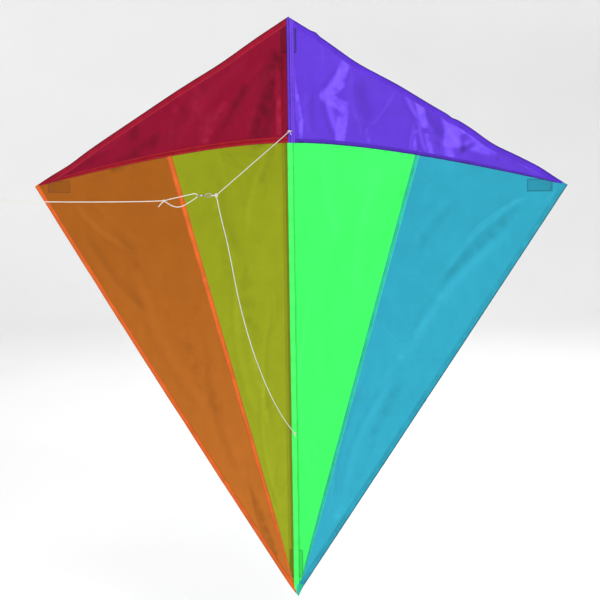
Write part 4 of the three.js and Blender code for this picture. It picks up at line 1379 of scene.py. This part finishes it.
def sew_sail():
    """The six panels with their hems, seams and stitching."""
    # Painted shadows of the pockets and the spine behind the cloth, each as left, right, bottom, top and how
    # dark.
    nose_box, tail_box = (-10, 10, 170, 208, 0.8), (-9, 9, -518, -480, 0.5)
    red = sail_cloth("sail_red", (0.198, 0.001, 0.019), 0.08, shine=0.01, crease_shade_strength=0.3,
                     shadows=[nose_box, (-10, -1, 62, 170, 0.25), (-3, -1, 62, 208, 0.5)])
    purple = sail_cloth("sail_purple", (0.086, 0.024, 0.50), 0.2, shine=0.035, crease_shade_strength=0.6,
                        shadows=[nose_box])
    orange = sail_cloth("sail_orange", (0.27, 0.075, 0.003), 0.1, shine=0.01, lightening=0.5, crease_shade_strength=0.4,
                        shadows=[(-331, -299, -8, 8, 0.4)])
    olive = sail_cloth("sail_olive", (0.206, 0.240, 0.004), 0.1, shine=0.01, lightening=0.24, crease_shade_strength=0.45,
                       shadows=[tail_box, (-10.5, -6.6, -540, 57, 0.25), (-6.6, -3.6, -540, 57, 0.5)])
    green = sail_cloth("sail_green", (0.040, 0.77, 0.105), 0.1, shine=0.02, crease_shade_strength=0.3,
                       shadows=[tail_box, (3.8, 5.4, -540, 57, 0.2)])
    blue = sail_cloth("sail_blue", (0.018, 0.270, 0.380), 0.1, shine=0.02, lightening=0.18, crease_shade_strength=0.35,
                      shadows=[(299, 331, -8, 8, 0.5)])

    # Painted shade with a dark edge line at the hems' folded outer edge, and a painted highlight along their
    # inner fold.
    rim_shade, inner_highlight = (0.0, 0.22, -0.9), (0.93, 0.06, 0.35)
    red_hem = band_cloth("red_hem", (0.25, 0.001, 0.017), [rim_shade, inner_highlight])
    red_seam = band_cloth("red_seam", (0.262, 0.001, 0.010),
                          [(0.55, 0.14, -0.4), (0.12, 0.12, 0.2), (0.0, 0.05, -0.5)])
    purple_hem = band_cloth("purple_hem", (0.080, 0.022, 0.48), [rim_shade, inner_highlight])
    purple_seam = band_cloth("purple_seam", (0.075, 0.020, 0.44), [(0.18, 0.24, -0.9), (0.72, 0.12, -0.5)])
    purple_centre = band_cloth("purple_centre", (0.10, 0.030, 0.48),
                               [(0.0, 0.09, -0.7), (0.38, 0.07, -0.85), (0.55, 0.07, 0.5), (0.9, 0.1, 0.4)])
    orange_hem = band_cloth("orange_hem", (0.55, 0.098, 0.013), [(0.0, 0.16, -0.55), (0.9, 0.1, -0.25)])
    orange_seam = band_cloth("orange_seam", (0.56, 0.102, 0.014),
                             [(0.08, 0.1, -0.3), (0.45, 0.1, 0.2), (0.95, 0.08, -0.35)])
    green_centre = band_cloth("green_centre", (0.055, 0.84, 0.115),
                              [(0.0, 0.07, -0.6), (0.45, 0.06, 0.3), (1.0, 0.1, -0.5)])
    teal_seam = band_cloth("teal_seam", (0.018, 0.40, 0.25), [(0.92, 0.1, 0.8), (0.1, 0.08, -0.3)])
    blue_hem = band_cloth("blue_hem", (0.017, 0.26, 0.36), [(0.0, 0.2, -0.95), (0.93, 0.06, 0.3)])
    threads_of = {
        "red": thread_finish("red_thread", (0.22, 0.01, 0.02)),
        "purple": thread_finish("purple_thread", (0.06, 0.02, 0.25)),
        "orange": thread_finish("orange_thread", (0.45, 0.08, 0.02)),
        "green": thread_finish("green_thread", (0.07, 0.55, 0.09)),
        "blue": thread_finish("blue_thread", (0.015, 0.12, 0.2)),
    }

    left_hems = hems(-1, "left", red_hem, orange_hem, threads_of["red"], threads_of["orange"], 6.2)
    right_hems = hems(1, "right", purple_hem, blue_hem, threads_of["purple"], threads_of["blue"], 7.4)
    arch_left = arch_seam(-1, "left", red_seam, threads_of["red"], 6.6)
    arch_right = arch_seam(1, "right", purple_seam, threads_of["purple"], 4.6)
    lap_left = lower_lap(-1, "left", orange_seam, threads_of["orange"], 7.6, 4.8, -0.1)
    lap_right = lower_lap(1, "right", teal_seam, threads_of["blue"], 5.6, 4.4, 0.2)
    centre_top = centre_seam("centre_seam_upper", SEAM_CROWN - 1, NOSE_RISE - 1.5, -2.4, 6.6, purple_centre,
                             threads_of["purple"])
    centre_low = centre_seam("centre_seam_lower", -TAIL_DROP + 9, SEAM_CROWN - 1, -3.6, 3.8, green_centre,
                             threads_of["green"])

    slots = {
        "sail_red": left_hems[0:1] + left_hems[2:3] + arch_left,
        "sail_purple": right_hems[0:1] + right_hems[2:3] + arch_right + centre_top,
        "sail_orange": left_hems[1:2] + left_hems[3:4] + lap_left,
        "sail_olive": [],
        "sail_green": centre_low,
        "sail_blue": right_hems[1:2] + right_hems[3:4] + lap_right + [tail_tip(teal_seam)],
    }
    layout = [
        ("nose_panel_left", nose_patch, -1, 150, 66, red, "sail_red"),
        ("nose_panel_right", nose_patch, 1, 150, 66, purple, "sail_purple"),
        ("outer_panel_left", outer_patch, -1, 72, 230, orange, "sail_orange"),
        ("inner_panel_left", inner_patch, -1, 62, 230, olive, "sail_olive"),
        ("inner_panel_right", inner_patch, 1, 62, 230, green, "sail_green"),
        ("outer_panel_right", outer_patch, 1, 72, 230, blue, "sail_blue"),
    ]
    for name, patch, side, across, up, material, slot in layout:
        piece, flat, area = panel(name, patch, side, across, up, material)
        for trim in slots[slot]:
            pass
        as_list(slots[slot])


def fit_frame():
    """The rods, their caps and pockets, and the moulded fittings behind the sail."""
    rod, vinyl, webbing = rod_finish(), vinyl_finish(), webbing_finish()
    thread = thread_finish("pocket_thread", (0.03, 0.03, 0.035))
    spars(rod)
    for word, side in (("left", -1), ("right", 1)):
        place = wing_place(side)
        pocket(f"wing_pocket_{word}", WING_POCKET, place, webbing)
        cap(f"spar_cap_{word}", place, 14.7, vinyl)
        middle = side * WING_POCKET["middle"]
        for row in box_stitches(f"wing_pocket_{word}", WING_POCKET, middle, False, thread):
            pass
    for name, size, cap_name, end in (("nose_pocket", NOSE_POCKET, "nose_cap", 1),
                                      ("tail_pocket", TAIL_POCKET, "tail_cap", -1)):
        place = spine_place(size["middle"], end)
        pocket(name, size, place, webbing)
        cap(cap_name, place, 17.7, vinyl)
        for row in box_stitches(name, size, size["middle"], True, thread):
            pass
    cross_fitting(vinyl)
    stop_ring("stop_ring_upper", 13.8, vinyl)
    stop_ring("stop_ring_lower", -13.8, vinyl)


place_camera()
place_lights()
studio_floor()
string = twine_finish()
bridle(string)
flying_gear(string)
swivel(nickel_finish())
sew_sail()
fit_frame()
